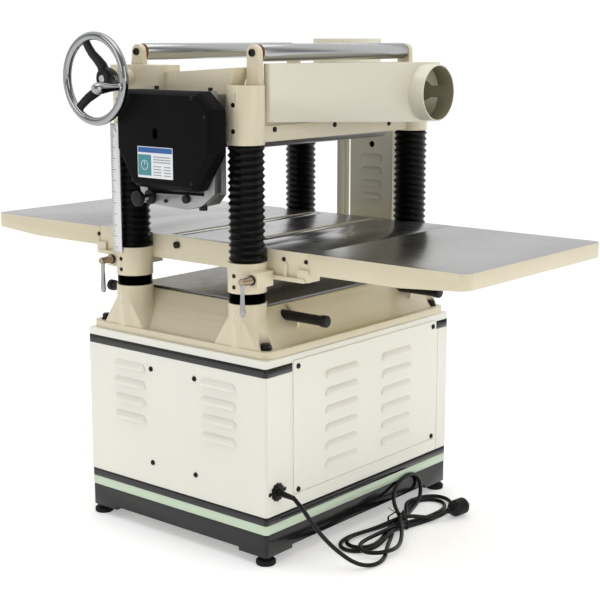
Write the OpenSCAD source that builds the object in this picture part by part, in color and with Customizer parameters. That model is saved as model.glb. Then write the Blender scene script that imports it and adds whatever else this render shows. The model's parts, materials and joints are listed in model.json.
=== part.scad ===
// Four-post thickness planer: a fixed cutting head over a table that rises on four columns.
// +X is the gearbox and handwheel side, +Y is the outfeed and dust-hood side, +Z is up.
// The origin is on the floor, under the middle of the stand.

/* [Stand] */
// Width of the stand, left to right across the feed
stand_w = 681; // [660:1:700]
// Depth of the stand, along the feed
stand_d = 552; // [540:1:580]
// Height of the stand above the floor, feet included
stand_top = 454; // [440:1:470]
// Height of the levelling feet
foot_h = 20; // [15:1:25]
// Gauge of the sheet steel
sheet = 2.5; // [2:0.5:3]

/* [Columns] */
// Half the distance between columns across the feed
col_dx = 297; // [296:1:300]
// Half the distance between columns along the feed
col_dy = 173.4; // [172:0.2:176]
// Radius of a column
col_r = 30; // [28:0.5:30]
// Outer radius of the base sockets and table collars
collar_r = 42; // [40:0.5:43]

/* [Table] */
// Width of the table
table_w = 541; // [536:1:546]
// Length of the table with both extension wings
table_len = 1416; // [1400:2:1430]
// Length of the middle casting, without the wings
table_mid = 640; // [630:2:650]
// Height of the table surface at its lowest
table_z = 678; // [676:1:680]
// Travel of the table
table_lift = 195; // [150:5:195]

/* [Cutting head] */
// Radius that the knife edges sweep
cut_r = 50; // [48:0.5:50]
// Radius of the feed rollers
feed_r = 35; // [30:0.5:35]
// Outer diameter of the dust port
port_d = 127; // [100:1:127]

/* [Handwheel] */
// Outer radius of the handwheel
wheel_r = 100; // [90:1:102]
// Length of the crank grip
grip_len = 76; // [60:1:76]

/* [Hidden] */

$fn = 64;

// Middle of the columns and the table
tx = -6;
ty = 8;
// Middle of the cutterhead
cy = 20;
cz = table_z + 203 + cut_r;
feed_dy = 95;
feed_z = table_z + 202 + feed_r;
roll_x0 = tx - 256;
roll_x1 = tx + 256;
// Base casting
flange_z = 470;
base_z = 548;
socket_z = 563;
// Table collars and the bellows above and below them
collar_z0 = 586;
collar_z1 = 650;
head_z0 = 897;
head_z1 = 1019;
// Service panels
panel_x = -17;
panel_w = 540;
panel_h = 303;
panel_z = 138;
// Lift screws: radius of the screw and of the nut inside the hollow column
screw_r = 12;
nut_r = 16.7;
col_bore = 17;
// Belt drive on the far side
motor_y = 30;
motor_z = 225;
pulley_x = -412;
guard_x = -345;
guard_y0 = -35;
guard_y1 = 98;
guard_z0 = 150;
guard_z1 = 1000;
// Gearbox
gear_x0 = 300;
gear_x1 = 355;
cover_x = 398;
// Handwheel shaft and its worm gear on the first lift screw
wheel_y = -140;
wheel_z = 1029;
wheel_x = 408;
grip_a = -10.6;
grip_at = 89;
// Return rollers on top
return_z = 1085;
return_r = 18.5;
// Dust port
port_x = -200;
port_z = 992;
// Cord
cord_d = 9.5;
inlet = [306, 276, 162];

cream = [0.88, 0.84, 0.75];
offwhite = [0.92, 0.91, 0.86];
black = [0.06, 0.06, 0.06];
steel = [0.72, 0.73, 0.74];
dark_steel = [0.33, 0.34, 0.35];
iron_grey = [0.48, 0.48, 0.47];

// ---------- shared shapes ----------

// Rounded rectangle, centred
module rrect(w, d, r) {
    square([w - 2 * r, d], center = true);
    square([w, d - 2 * r], center = true);
    for (sx = [-1, 1], sy = [-1, 1])
        translate([sx * (w / 2 - r), sy * (d / 2 - r)]) circle(r);
}

// Cylinder along +X from x0 to x1
module xcyl(x0, x1, y, z, r) {
    translate([x0, y, z]) rotate([0, 90, 0]) cylinder(h = x1 - x0, r = r);
}

// Cylinder along +Y from y0 to y1
module ycyl(y0, y1, x, z, r) {
    translate([x, y0, z]) rotate([-90, 0, 0]) cylinder(h = y1 - y0, r = r);
}

// An outline in the Y-Z plane, pushed from x0 to x1
module yz_plate(x0, x1, points) {
    translate([x0, 0, 0]) rotate([90, 0, 90]) linear_extrude(x1 - x0) polygon(points);
}

// An outline in the X-Z plane, pushed from y0 to y1
module xz_plate(y0, y1, points) {
    translate([0, y1, 0]) rotate([90, 0, 0]) linear_extrude(y1 - y0) polygon(points);
}

// Puts its children at each of the four columns, mirrored so that +X and +Y point outward
module at_columns() {
    for (sx = [-1, 1], sy = [-1, 1])
        translate([tx + sx * col_dx, ty + sy * col_dy, 0])
            mirror([sx < 0 ? 1 : 0, 0, 0]) mirror([0, sy < 0 ? 1 : 0, 0]) children();
}

// One pressed louvre: its length runs along X, it opens downward, and +Y is outward
module louvre(len) {
    translate([-len / 2, 0, 0]) rotate([90, 0, 90]) linear_extrude(len)
        polygon([[0, 18], [3, 16], [7, 5], [7, 0], [5.5, 0], [5.5, 5], [2, 13], [0, 14]]);
    for (s = [-1, 1]) translate([s * (len / 2 - 1) - 1, 0, 0])
        rotate([90, 0, 90]) linear_extrude(2) polygon([[0, 18], [3, 16], [7, 5], [7, 0], [0, 0]]);
}

// Pan-head screw with its head toward +Y
module pan_screw(r, len) {
    shank = len > 0 ? [[0, -len], [r * 0.5, -len], [r * 0.5, 0]] : [[0, 0]];
    rotate([-90, 0, 0]) rotate_extrude()
        polygon(concat(shank, [[r, 0], [r * 0.9, r * 0.4], [r * 0.5, r * 0.6], [0, r * 0.6]]));
}

// Hexagon head with a washer, standing up
module hex_bolt(af, shank) {
    cylinder(h = 3, r = af * 0.72);
    translate([0, 0, 3]) cylinder(h = af * 0.6, r = af * 0.577, $fn = 6);
    translate([0, 0, -shank]) cylinder(h = shank, r = af * 0.3);
}

// ---------- stand ----------

module side_louvres() {
    for (c = [[1, -1], [1, 1], [-1, -1]], i = [0:3])
        translate([c[0] * stand_w / 2, c[1] * 139, 253 + i * 40.3])
            rotate([0, 0, -c[0] * 90]) children();
}

module stand_cabinet() {
    z0 = 71.7;
    color(offwhite) {
        difference() {
            translate([0, 0, z0]) linear_extrude(stand_top - z0) rrect(stand_w, stand_d, 8);
            translate([0, 0, z0 - 1]) linear_extrude(stand_top - sheet - z0 + 1)
                rrect(stand_w - 2 * sheet, stand_d - 2 * sheet, 6);
            translate([0, 0, stand_top - 5]) linear_extrude(10) rrect(500, 380, 20);
            // service openings behind the panels
            translate([panel_x - 240, -stand_d, 170]) cube([480, 2 * stand_d, 240]);
            // motor shaft slot
            translate([-stand_w / 2 - 5, motor_y - 22, motor_z - 40]) cube([10, 44, 80]);
            side_louvres() translate([-50, -10, 0]) cube([100, 20, 11]);
            translate([inlet[0], inlet[1] - 10, inlet[2]]) rotate([-90, 0, 0]) cylinder(h = 20, r = 11);
            for (sx = [-1, 1], sy = [-1, 1])
                translate([sx * 307, sy * 247, 400]) cylinder(h = 100, r = 6);
        }
        side_louvres() louvre(104);
    }
}

module stand_plinth() {
    color(black) difference() {
        translate([0, 0, foot_h]) linear_extrude(51.7) rrect(stand_w, stand_d, 8);
        translate([0, 0, foot_h + 3]) linear_extrude(60)
            rrect(stand_w - 2 * sheet, stand_d - 2 * sheet, 6);
        translate([0, 0, foot_h - 5]) linear_extrude(20) rrect(560, 430, 10);
        // the lower edge is cut away between the corner legs
        translate([-255, -stand_d, foot_h - 1]) cube([510, 2 * stand_d, 9]);
        translate([-stand_w, -195, foot_h - 1]) cube([2 * stand_w, 390, 9]);
        for (sx = [-1, 1], sy = [-1, 1])
            translate([sx * (stand_w / 2 - 18), sy * (stand_d / 2 - 18), 0]) cylinder(h = 60, r = 6);
    }
}

module stand_feet() {
    color([0.12, 0.12, 0.12]) for (sx = [-1, 1], sy = [-1, 1])
        translate([sx * (stand_w / 2 - 18), sy * (stand_d / 2 - 18), 0]) rotate_extrude()
            polygon([[0, 0], [20, 0], [22, 2], [22, 9], [19, 12], [11, 12], [11, foot_h],
                     [6, foot_h], [6, 38], [0, 38]]);
}

module service_panel() {
    difference() {
        translate([panel_x - panel_w / 2, stand_d / 2, panel_z]) cube([panel_w, sheet, panel_h]);
        for (c = [0, 1], i = [0:5])
            translate([85 - c * 208 - 57, stand_d / 2 - 5, 177 + i * 41]) cube([114, 12, 11]);
        for (sx = [-1, 1], z = [151, 427])
            translate([panel_x + sx * 255, stand_d / 2 - 5, z]) rotate([-90, 0, 0]) cylinder(h = 12, r = 3);
    }
    for (c = [0, 1], i = [0:5])
        translate([85 - c * 208, stand_d / 2 + sheet, 177 + i * 41]) louvre(119);
    // folded lip along the bottom
    xz_plate(stand_d / 2 + sheet, stand_d / 2 + sheet + 3,
             [[panel_x - panel_w / 2, panel_z], [panel_x + panel_w / 2, panel_z],
              [panel_x + panel_w / 2, panel_z + 5], [panel_x - panel_w / 2, panel_z + 5]]);
}

module stand_panels() {
    color(offwhite) for (m = [0, 1]) mirror([0, m, 0]) service_panel();
}

module stand_fasteners() {
    color(black) {
        // bolts that hold the base casting down
        for (sx = [-1, 1], sy = [-1, 1])
            translate([sx * 307, sy * 247, flange_z]) hex_bolt(18, 24);
        for (m = [0, 1], sx = [-1, 1], z = [151, 427]) mirror([0, m, 0])
            translate([panel_x + sx * 255, stand_d / 2 + sheet, z]) pan_screw(6, 2.5);
        for (c = [[1, -68], [1, 68], [-1, 68]], z = [164, 384])
            translate([c[0] * stand_w / 2, c[1], z]) rotate([0, 0, -c[0] * 90]) pan_screw(6, 0);
    }
}

// A thin band wrapped round the stand
module wrap(z0, z1) {
    translate([0, 0, z0]) linear_extrude(z1 - z0) difference() {
        rrect(stand_w + 1.6, stand_d + 1.6, 8.8);
        rrect(stand_w, stand_d, 8);
    }
}

module trim_bands() {
    color(black) {
        wrap(92.3, 110.8);
        difference() {
            wrap(417.9, 437.2);
            translate([panel_x - panel_w / 2 - 2, -stand_d, 400]) cube([panel_w + 4, 2 * stand_d, 50]);
        }
    }
}

module trim_stripe() {
    color([0.80, 0.88, 0.74]) wrap(71.7, 92.3);
}

// ---------- motor and belts ----------

module motor() {
    color([0.25, 0.26, 0.27]) difference() {
        union() {
            xcyl(-190, 90, motor_y, motor_z, 88);
            xcyl(90, 140, motor_y, motor_z, 82);
            xcyl(-205, -190, motor_y, motor_z, 70);
            // feet
            translate([-160, motor_y - 85, 130]) cube([220, 170, 12]);
            for (x = [-150, 35]) translate([x, motor_y - 60, 135]) cube([14, 120, 60]);
            // terminal box
            translate([-90, motor_y - 50, 300]) cube([120, 100, 50]);
            // cooling ribs
            for (a = [20:20:340]) translate([-180, motor_y, motor_z]) rotate([a, 0, 0])
                translate([0, -2, 80]) cube([260, 4, 13]);
        }
        for (x = [-140, 40], y = [-72, 72])
            translate([x, motor_y + y, 120]) cylinder(h = 30, r = 5);
        xcyl(-210, -60, motor_y, motor_z, 14.05);
    }
}

module motor_mount() {
    color(black) {
        translate([-180, motor_y - 100, 122]) cube([260, 200, 8]);
        for (x = [-170, 30]) translate([x, -273.5, 82]) cube([40, 547, 40]);
    }
}

module v_pulley(x, y, z, r, bore) {
    translate([x, y, z]) rotate([0, 90, 0]) rotate_extrude() polygon(concat(
        [[bore, -30], [r, -30]],
        [for (g = [-18, 0, 18]) for (p = [[r, g - 7], [r - 9, g - 4], [r - 9, g + 4], [r, g + 7]]) p],
        [[r, 30], [bore, 30]]));
}

module motor_pulley() {
    color(iron_grey) v_pulley(pulley_x, motor_y, motor_z, 50, 14);
    color(steel) xcyl(-445, -62, motor_y, motor_z, 14);
}

// Three belts: each runs round both pulleys
module drive_belts() {
    color([0.08, 0.08, 0.08]) for (g = [-18, 0, 18])
        translate([pulley_x + g - 3.8, 0, 0]) rotate([90, 0, 90]) linear_extrude(7.6)
            difference() {
                hull() {
                    translate([motor_y, motor_z]) circle(51, $fn = 40);
                    translate([cy, cz]) circle(43, $fn = 40);
                }
                hull() {
                    translate([motor_y, motor_z]) circle(41.2, $fn = 40);
                    translate([cy, cz]) circle(33.2, $fn = 40);
                }
            }
}

module belt_guard_inner() {
    color(cream) difference() {
        union() {
            translate([guard_x - 3, guard_y0, guard_z0])
                cube([3, guard_y1 - guard_y0, guard_z1 - guard_z0]);
            for (i = [0:3]) translate([guard_x, 33, 712 + i * 33]) rotate([0, 0, -90]) louvre(64);
            // pads against the stand and the head
            translate([guard_x, 0, 160]) cube([4.5, 60, 20]);
            translate([guard_x, 0, 439.5]) cube([4.5, 60, 12]);
            translate([guard_x, 0, 975]) cube([guard_x + 345 + 33, 60, 20]);
        }
        for (i = [0:3]) translate([guard_x - 8, 4, 712 + i * 33]) cube([14, 58, 11]);
        xcyl(guard_x - 10, guard_x + 10, motor_y, motor_z, 22);
        xcyl(guard_x - 10, guard_x + 10, cy, cz, 22);
        xcyl(guard_x - 10, guard_x + 10, 33, 852, 8);
    }
}

module belt_guard_outer() {
    x1 = guard_x - 3;
    color(cream) difference() {
        translate([x1 - 104, guard_y0, guard_z0])
            cube([104, guard_y1 - guard_y0, guard_z1 - guard_z0]);
        translate([x1 - 102, guard_y0 + 2, guard_z0 + 2])
            cube([110, guard_y1 - guard_y0 - 4, guard_z1 - guard_z0 - 4]);
    }
}

// Starter box on its square post
module switch_box() {
    color(cream) difference() {
        union() {
            translate([-361.3, -75, 300]) cube([20, 25, 685]);
            for (z = [310, 380]) translate([-341.3, -75, z]) cube([0.8, 25, 20]);
        }
        translate([-359.3, -73, 290]) cube([16, 21, 690]);
    }
    color(cream) difference() {
        translate([-500, -158, 985]) cube([155, 102, 128]);
        translate([-498, -156, 987]) cube([151, 98, 124]);
        ycyl(-165, -150, -400, 1050, 14.3);
        ycyl(-165, -150, -450, 1050, 18.3);
        translate([-359.3, -73, 980]) cube([11, 21, 10]);
    }
    color([0.10, 0.10, 0.10]) for (x = [-400, -450]) difference() {
        ycyl(-162, -158, x, 1050, x == -400 ? 20 : 24);
        ycyl(-170, -150, x, 1050, x == -400 ? 14.3 : 18.3);
    }
    // contact block that the buttons press
    color([0.20, 0.20, 0.20]) translate([-480, -140, 1030]) cube([110, 60, 40]);
}

module start_button() {
    color([0.10, 0.50, 0.20]) {
        ycyl(-165, -146, -400, 1050, 14);
    }
}

module stop_button() {
    color([0.75, 0.08, 0.06]) {
        ycyl(-176, -166, -450, 1050, 22);
        ycyl(-166, -148, -450, 1050, 18);
    }
}

// ---------- base ----------

module base_casting() {
    color(cream) difference() {
        union() {
            // flange
            translate([0, 0, stand_top]) linear_extrude(flange_z - stand_top) rrect(666, 546, 26);
            // sloped body
            intersection() {
                xz_plate(-300, 300, [[-316, flange_z], [316, flange_z], [252, base_z], [-252, base_z]]);
                yz_plate(-330, 330, [[-256, flange_z], [256, flange_z], [205, base_z], [-205, base_z]]);
            }
            at_columns() translate([0, 0, flange_z - 6]) cylinder(h = socket_z - flange_z + 6, r = collar_r);
            // flared feet of the sockets
            intersection() {
                at_columns() translate([0, 0, flange_z - 2]) cylinder(h = 66, r1 = 74, r2 = collar_r - 1);
                linear_extrude(600) rrect(660, 540, 26);
            }
            // webs beside the lifting bars
            for (m = [0, 1], x = [-212, 212]) mirror([0, m, 0]) translate([x, 0, 0])
                yz_plate(-22, -14, [[200, 500], [243, 500], [243, 520], [215, 545], [200, 545]]);
        }
        // hollow underside, with pads round the bolts
        difference() {
            union() {
                translate([0, 0, stand_top - 1]) linear_extrude(13) rrect(650, 530, 20);
                at_columns() translate([0, 0, stand_top - 1]) cylinder(h = 21, r = 18);
                intersection() {
                    xz_plate(-240, 240, [[-300, stand_top], [300, stand_top], [240, 538], [-240, 538]]);
                    yz_plate(-330, 330, [[-240, stand_top], [240, stand_top], [193, 538], [-193, 538]]);
                }
            }
            for (sx = [-1, 1], sy = [-1, 1])
                translate([sx * 307, sy * 247, stand_top - 2]) cylinder(h = 30, r = 18);
            at_columns() difference() {
                translate([0, 0, 474]) cylinder(h = 100, r = collar_r - 0.5);
            }
        }
        at_columns() translate([0, 0, 474]) cylinder(h = 120, r = col_r);
        for (sx = [-1, 1], sy = [-1, 1])
            translate([sx * 307, sy * 247, stand_top - 2]) {
                cylinder(h = 40, r = 6);
                translate([0, 0, flange_z - stand_top + 2]) cylinder(h = 40, r = 15);
            }
        for (x = [-212, 212]) ycyl(-300, 300, x, 527, 11.05);
        translate([-120, -90, 500]) cube([240, 180, 60]);
    }
    // set screws in the sockets
    color(black) at_columns() for (z = [522, 546]) translate([40.5, 0, z])
        rotate([0, 90, 0]) cylinder(h = 2.2, r = 4);
}

module base_plate() {
    color(dark_steel) translate([-4, 0, base_z]) linear_extrude(6) difference() {
        rrect(500, 404, 4);
        for (sx = [-1, 1], sy = [-1, 1])
            translate([tx + 4 + sx * col_dx, ty + sy * col_dy]) circle(collar_r + 0.5);
    }
}

module columns() {
    color(steel) at_columns() difference() {
        translate([0, 0, 474]) cylinder(h = 538, r = col_r);
        translate([0, 0, 470]) cylinder(h = 560, r = col_bore);
        translate([-col_r - 5, -6, 590]) cube([col_r + 5, 12, 270]);
    }
    // bronze bushes that centre the lift screws
    color([0.72, 0.55, 0.30]) at_columns() for (z = [474, 990]) translate([0, 0, z])
        difference() {
            cylinder(h = 18, r = col_bore);
            translate([0, 0, -1]) cylinder(h = 20, r = screw_r + 0.05);
        }
}

// Lift screw with its chain sprocket at the foot
module leadscrew(sx, sy) {
    translate([tx + sx * col_dx, ty + sy * col_dy, 0]) {
        color(steel) translate([0, 0, 455.5]) cylinder(h = 550.5, r = screw_r);
        color(iron_grey) translate([0, 0, 456.5]) rotate_extrude()
            polygon([[screw_r, 0], [15, 0], [15, 3], [17.5, 4], [17.5, 8], [15, 9], [15, 12], [screw_r, 12]]);
    }
}

module leadscrew_a() {
    leadscrew(1, -1);
    // worm wheel turned by the handwheel
    translate([tx + col_dx, ty - col_dy, 0]) {
        color(steel) translate([0, 0, 1006]) cylinder(h = 38, r = 9);
        color([0.72, 0.55, 0.30]) translate([0, 0, 1021]) difference() {
            cylinder(h = 17, r = 15.3);
            translate([0, 0, -1]) cylinder(h = 20, r = 9);
        }
    }
}

module leadscrew_b() {
    leadscrew(1, 1);
}

module leadscrew_c() {
    leadscrew(-1, 1);
}

module leadscrew_d() {
    leadscrew(-1, -1);
}

// Roller chain round the four sprockets, under the base
module lift_chain() {
    color(dark_steel) translate([0, 0, 460.8]) linear_extrude(3.4) difference() {
        hull() for (sx = [-1, 1], sy = [-1, 1])
            translate([tx + sx * col_dx, ty + sy * col_dy]) circle(20.5, $fn = 32);
        hull() for (sx = [-1, 1], sy = [-1, 1])
            translate([tx + sx * col_dx, ty + sy * col_dy]) circle(17.9, $fn = 32);
    }
}

// Bar that slides out of the base for lifting the machine
module lifting_bar(x, m) {
    color(black) mirror([0, m, 0]) translate([x, 120, 527]) rotate([-90, 0, 0]) rotate_extrude()
        polygon([[0, 0], [11, 0], [11, 203], [13, 203], [13, 216], [11, 218], [0, 218]]);
}

module lifting_bar_1() {
    lifting_bar(212, 0);
}

module lifting_bar_2() {
    lifting_bar(-212, 0);
}

module lifting_bar_3() {
    lifting_bar(212, 1);
}

module lifting_bar_4() {
    lifting_bar(-212, 1);
}

// Pleated sleeve: n pleats from z0 to z1
module bellows(z0, z1, n) {
    p = (z1 - z0) / n;
    outer = [for (i = [0:n - 1]) for (q = [[34.5, i * p], [40, (i + 0.5) * p]]) [q[0], z0 + q[1]]];
    rotate_extrude() polygon(concat([[32, z0]], outer, [[34.5, z1], [32, z1]]));
}

module lower_bellows() {
    color(black) at_columns() bellows(socket_z, collar_z0, 5);
}

module upper_bellows() {
    color(black) at_columns() bellows(collar_z1, head_z0, 17);
}

// ---------- table ----------

module table_casting() {
    color(cream) difference() {
        union() {
            translate([tx, ty, 624]) linear_extrude(table_z - 624) rrect(table_w, table_mid, 3);
            at_columns() {
                translate([0, 0, collar_z0]) cylinder(h = collar_z1 - collar_z0, r = collar_r);
                // arm from the collar to the table
                translate([-60, -30, 610]) cube([60, 60, 38]);
            }
            // clamp lugs for the lock levers
            for (m = [0, 1]) translate([tx + col_dx, ty, 0]) mirror([0, m, 0])
                translate([-20, col_dy + 26, 602]) cube([51, 30, 32]);
        }
        // pocket under the surface, ribs left standing
        for (x = [-170, 0, 170], y = [-245, 20, 245])
            translate([tx + x - 72, ty + y - (y == 20 ? 62 : 50), 600])
                cube([144, y == 20 ? 84 : 100, 62]);
        at_columns() {
            translate([0, 0, collar_z0 - 1]) cylinder(h = 200, r = col_r + 0.05);
            translate([0, 0, collar_z1]) cylinder(h = 60, r = collar_r + 1);
            translate([-36, -5, 605]) cube([10, 10, 30]);
            for (z = [600, 624]) translate([collar_r - 1.5, 0, z]) rotate([0, 90, 0]) cylinder(h = 5, r = 4.5);
        }
        // slots for the bed rollers
        for (y = [cy - feed_dy, cy + feed_dy])
            translate([tx - 250, y - 20, table_z - 42]) cube([500, 40, 60]);
        for (y = [cy - feed_dy, cy + feed_dy])
            xcyl(tx - 264, tx + 264, y, table_z - 18.5, 8.05);
        for (m = [0, 1]) xcyl(tx + 270, tx + 340, ty + (m ? -1 : 1) * (col_dy + 41), 618, 6.05);
    }
}

module table_nuts() {
    color([0.72, 0.55, 0.30]) at_columns() difference() {
        union() {
            translate([0, 0, 600]) cylinder(h = 40, r = nut_r);
            translate([-36, -5, 605]) cube([30, 10, 30]);
        }
        translate([0, 0, 590]) cylinder(h = 60, r = screw_r + 0.05);
    }
}

module table_wings() {
    len = (table_len - table_mid) / 2;
    color(cream) for (m = [0, 1]) translate([tx, ty, 0]) mirror([0, m, 0])
        translate([0, table_mid / 2, 0]) difference() {
            intersection() {
                translate([0, len / 2, 600]) linear_extrude(table_z - 600) union() {
                    rrect(table_w, len, 22);
                    translate([-table_w / 2, -len / 2]) square([table_w, 60]);
                }
                yz_plate(-300, 300, [[0, table_z], [0, 634], [230, 634], [len, 645], [len, table_z]]);
            }
            for (x = [-200, -66.7, 66.7, 200]) translate([x - 60, 12, 600]) cube([120, 180, 66]);
            for (x = [-200, -66.7, 66.7, 200]) translate([x - 60, 204, 600]) cube([120, 160, 66]);
        }
}

module table_screws() {
    color(black) {
        for (m = [0, 1], y = [-314, 262, 322]) translate([tx, y, 660]) mirror([m, 0, 0])
            translate([table_w / 2, 0, 0]) rotate([0, 0, -90]) pan_screw(5, 0);
        translate([tx + table_w / 2, -53, 659]) rotate([0, 90, 0]) cylinder(h = 6, r = 8);
        at_columns() for (z = [600, 624]) translate([collar_r - 1.5, 0, z])
            rotate([0, 90, 0]) cylinder(h = 2.3, r = 4.5);
    }
}

module bed_roller(y) {
    color(steel) {
        xcyl(tx - 247, tx + 247, y, table_z - 18.5, 18.7);
        xcyl(tx - 263, tx + 263, y, table_z - 18.5, 8);
    }
}

module bed_roller_infeed() {
    bed_roller(cy - feed_dy);
}

module bed_roller_outfeed() {
    bed_roller(cy + feed_dy);
}

// Ratchet lever that locks the table to its columns
module lock_lever(s) {
    translate([tx + col_dx, ty + s * (col_dy + 41), 618]) {
        color([0.62, 0.50, 0.40]) rotate([0, 90, 0]) rotate_extrude()
            polygon([[0, -19], [6, -19], [6, 31.5], [11, 31.5], [11, 35], [9, 38], [7, 62], [7, 68], [0, 68]]);
        color([0.80, 0.80, 0.80]) translate([66, 0, 0]) rotate([180, 0, 0]) rotate_extrude()
            polygon([[0, -8], [5, -8], [5.5, 0], [4.5, 20], [6, 62], [5, 72], [3, 74], [0, 74]]);
    }
}

module lock_lever_infeed() {
    lock_lever(-1);
}

module lock_lever_outfeed() {
    lock_lever(1);
}

// Graduated strip in front of the first column, held by the head
module scale_strip() {
    color([0.78, 0.79, 0.80]) {
        translate([335, ty - col_dy - 20, 640]) cube([2, 28, 290]);
        translate([tx + col_dx + 39.5, ty - col_dy - 12, 902]) cube([335 - (tx + col_dx + 39.5), 12, 17]);
        xcyl(337, 339, ty - col_dy - 6, 914, 5);
    }
}

// ---------- head ----------

module head_casting() {
    color(cream) difference() {
        union() {
            at_columns() translate([0, 0, head_z0]) cylinder(h = head_z1 - head_z0, r = 39.5);
            // side walls with their sloped top edge
            for (m = [0, 1]) translate([tx, 0, 0]) mirror([m, 0, 0])
                yz_plate(262, 306, [[-165, head_z0], [182, head_z0], [182, 1017], [146, 1017],
                                    [160.5, 1055], [-60, 1041], [-140, 1037], [-140, 1017], [-165, 1017]]);
            translate([tx - 264, -172, 1000]) cube([528, 362, 12]);
            // rails between the sockets
            translate([tx - 264, 172, 900]) cube([528, 18, 100]);
            translate([tx - 264, 190, 900]) cube([528, 4, 34]);
            translate([tx - 264, -175, 930]) cube([528, 18, 82]);
            // worm box over the first column, with the shaft boss
            translate([252, -200, 1000]) cube([66, 152, 57]);
            xcyl(300, 345, wheel_y, wheel_z, 20);
        }
        at_columns() translate([0, 0, head_z0 - 1]) cylinder(h = 116, r = col_r);
        at_columns() translate([0, 0, 1000]) cylinder(h = 13, r = col_bore);
        // worm box hollow
        translate([tx + col_dx - 22, ty - col_dy - 18, 1013]) cube([40, 66, 36]);
        xcyl(264, 350, wheel_y, wheel_z, 8.05);
        // bearing seats
        for (m = [0, 1]) translate([tx, 0, 0]) mirror([m, 0, 0]) {
            xcyl(250, 320, cy, cz, 31);
            for (y = [cy - feed_dy, cy + feed_dy]) xcyl(250, 320, y, feed_z, 14.05);
            xcyl(255, 267, -143, 962, 6.05);
        }
        // chips leave through the outfeed rail
        translate([tx - 240, 160, 946]) cube([480, 60, 46]);
    }
    // cutterhead bearings
    color(steel) for (m = [0, 1]) translate([tx, 0, 0]) mirror([m, 0, 0]) difference() {
        xcyl(268, 300, cy, cz, 31);
        xcyl(260, 310, cy, cz, 15.05);
    }
    // bolts along the outfeed rail and set screws in the sockets
    color(black) {
        for (p = [[215, 925], [10, 925], [-195, 918]]) translate([p[0], 194, p[1]]) pan_screw(6, 0);
        at_columns() for (z = [926, 980]) translate([38, 0, z]) rotate([0, 90, 0]) cylinder(h = 2.4, r = 5);
    }
}

module cutterhead() {
    color(steel) difference() {
        xcyl(roll_x0, roll_x1, cy, cz, 46);
        for (a = [0:90:270]) translate([roll_x0 - 1, cy, cz]) rotate([a, 0, 0])
            translate([0, -14, 34]) cube([roll_x1 - roll_x0 + 2, 14, 20]);
    }
    color(dark_steel) for (a = [0:90:270]) translate([roll_x0 + 3, cy, cz]) rotate([a, 0, 0])
        translate([0, -4, 34]) cube([roll_x1 - roll_x0 - 6, 4, cut_r - 34.2]);
    color(steel) xcyl(-446, roll_x0, cy, cz, 15);
    color(steel) xcyl(roll_x1, 340, cy, cz, 15);
    color(iron_grey) v_pulley(pulley_x, cy, cz, 42, 15);
}

module feed_roller(y, groove) {
    color(dark_steel) difference() {
        xcyl(roll_x0, roll_x1, y, feed_z, feed_r);
        if (groove) for (x = [roll_x0 + 20:24:roll_x1 - 20]) difference() {
            xcyl(x, x + 4, y, feed_z, feed_r + 2);
            xcyl(x - 1, x + 5, y, feed_z, feed_r - 3);
        }
    }
    color(steel) xcyl(-306, 338, y, feed_z, 14);
    color(iron_grey) xcyl(322, 334, y, feed_z, 30);
}

module feed_roller_infeed() {
    feed_roller(cy - feed_dy, true);
}

module feed_roller_outfeed() {
    feed_roller(cy + feed_dy, false);
}

module chip_breaker() {
    color(iron_grey) {
        yz_plate(tx - 256, tx + 256, [[-38, 884], [-34, 884], [-31, 900], [-35, 1000], [-39, 1000]]);
        // pressure bar behind the knives
        yz_plate(tx - 256, tx + 256, [[73.5, 883], [78.5, 883], [79, 1000], [75, 1000]]);
    }
}

module kickback_fingers() {
    color(dark_steel) {
        xcyl(tx - 266, tx + 266, -143, 962, 6);
        for (i = [0:41]) translate([tx - 250 + i * 12, 0, 0])
            yz_plate(0, 8, [[-150, 970], [-136, 970], [-136, 905], [-141, 886], [-144, 886], [-150, 905]]);
    }
}

module gearbox_outline() {
    polygon([[-62, 763], [68, 757], [112, 768], [132, 790], [132, 1000], [-62, 1000]]);
}

module gearbox_housing() {
    color(iron_grey) difference() {
        union() {
            translate([gear_x0, 0, 0]) rotate([90, 0, 90]) linear_extrude(gear_x1 - gear_x0) gearbox_outline();
            yz_plate(335, gear_x1, [[-76, 1008], [140, 1008], [150, 972], [150, 797], [112, 768], [68, 757],
                                    [-62, 763], [-104, 880], [-104, 982]]);
            xcyl(340, 362, -39, 777, 16);
        }
        // gear chamber, closed by the cover
        yz_plate(308, 356, [[-50, 785], [120, 790], [120, 990], [-50, 990]]);
        for (y = [cy - feed_dy, cy + feed_dy]) xcyl(290, 312, y, feed_z, 14.3);
        xcyl(290, 345, cy - feed_dy, feed_z, 31);
        xcyl(290, 345, cy + feed_dy, feed_z, 31);
        xcyl(290, 320, cy, cz, 15.3);
        xcyl(312, 370, -39, 777, 7.05);
    }
    // level plug, vent screw and drain plug
    color(black) {
        xcyl(gear_x1, gear_x1 + 8, 70, 780, 9);
        xcyl(gear_x1, gear_x1 + 4, 7, 771, 4);
        translate([345, 107, 758]) cylinder(h = 9, r = 9);
        for (y = [-26, 132]) translate([345, y, 1007.9]) cylinder(h = 7, r = 5);
    }
}

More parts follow.
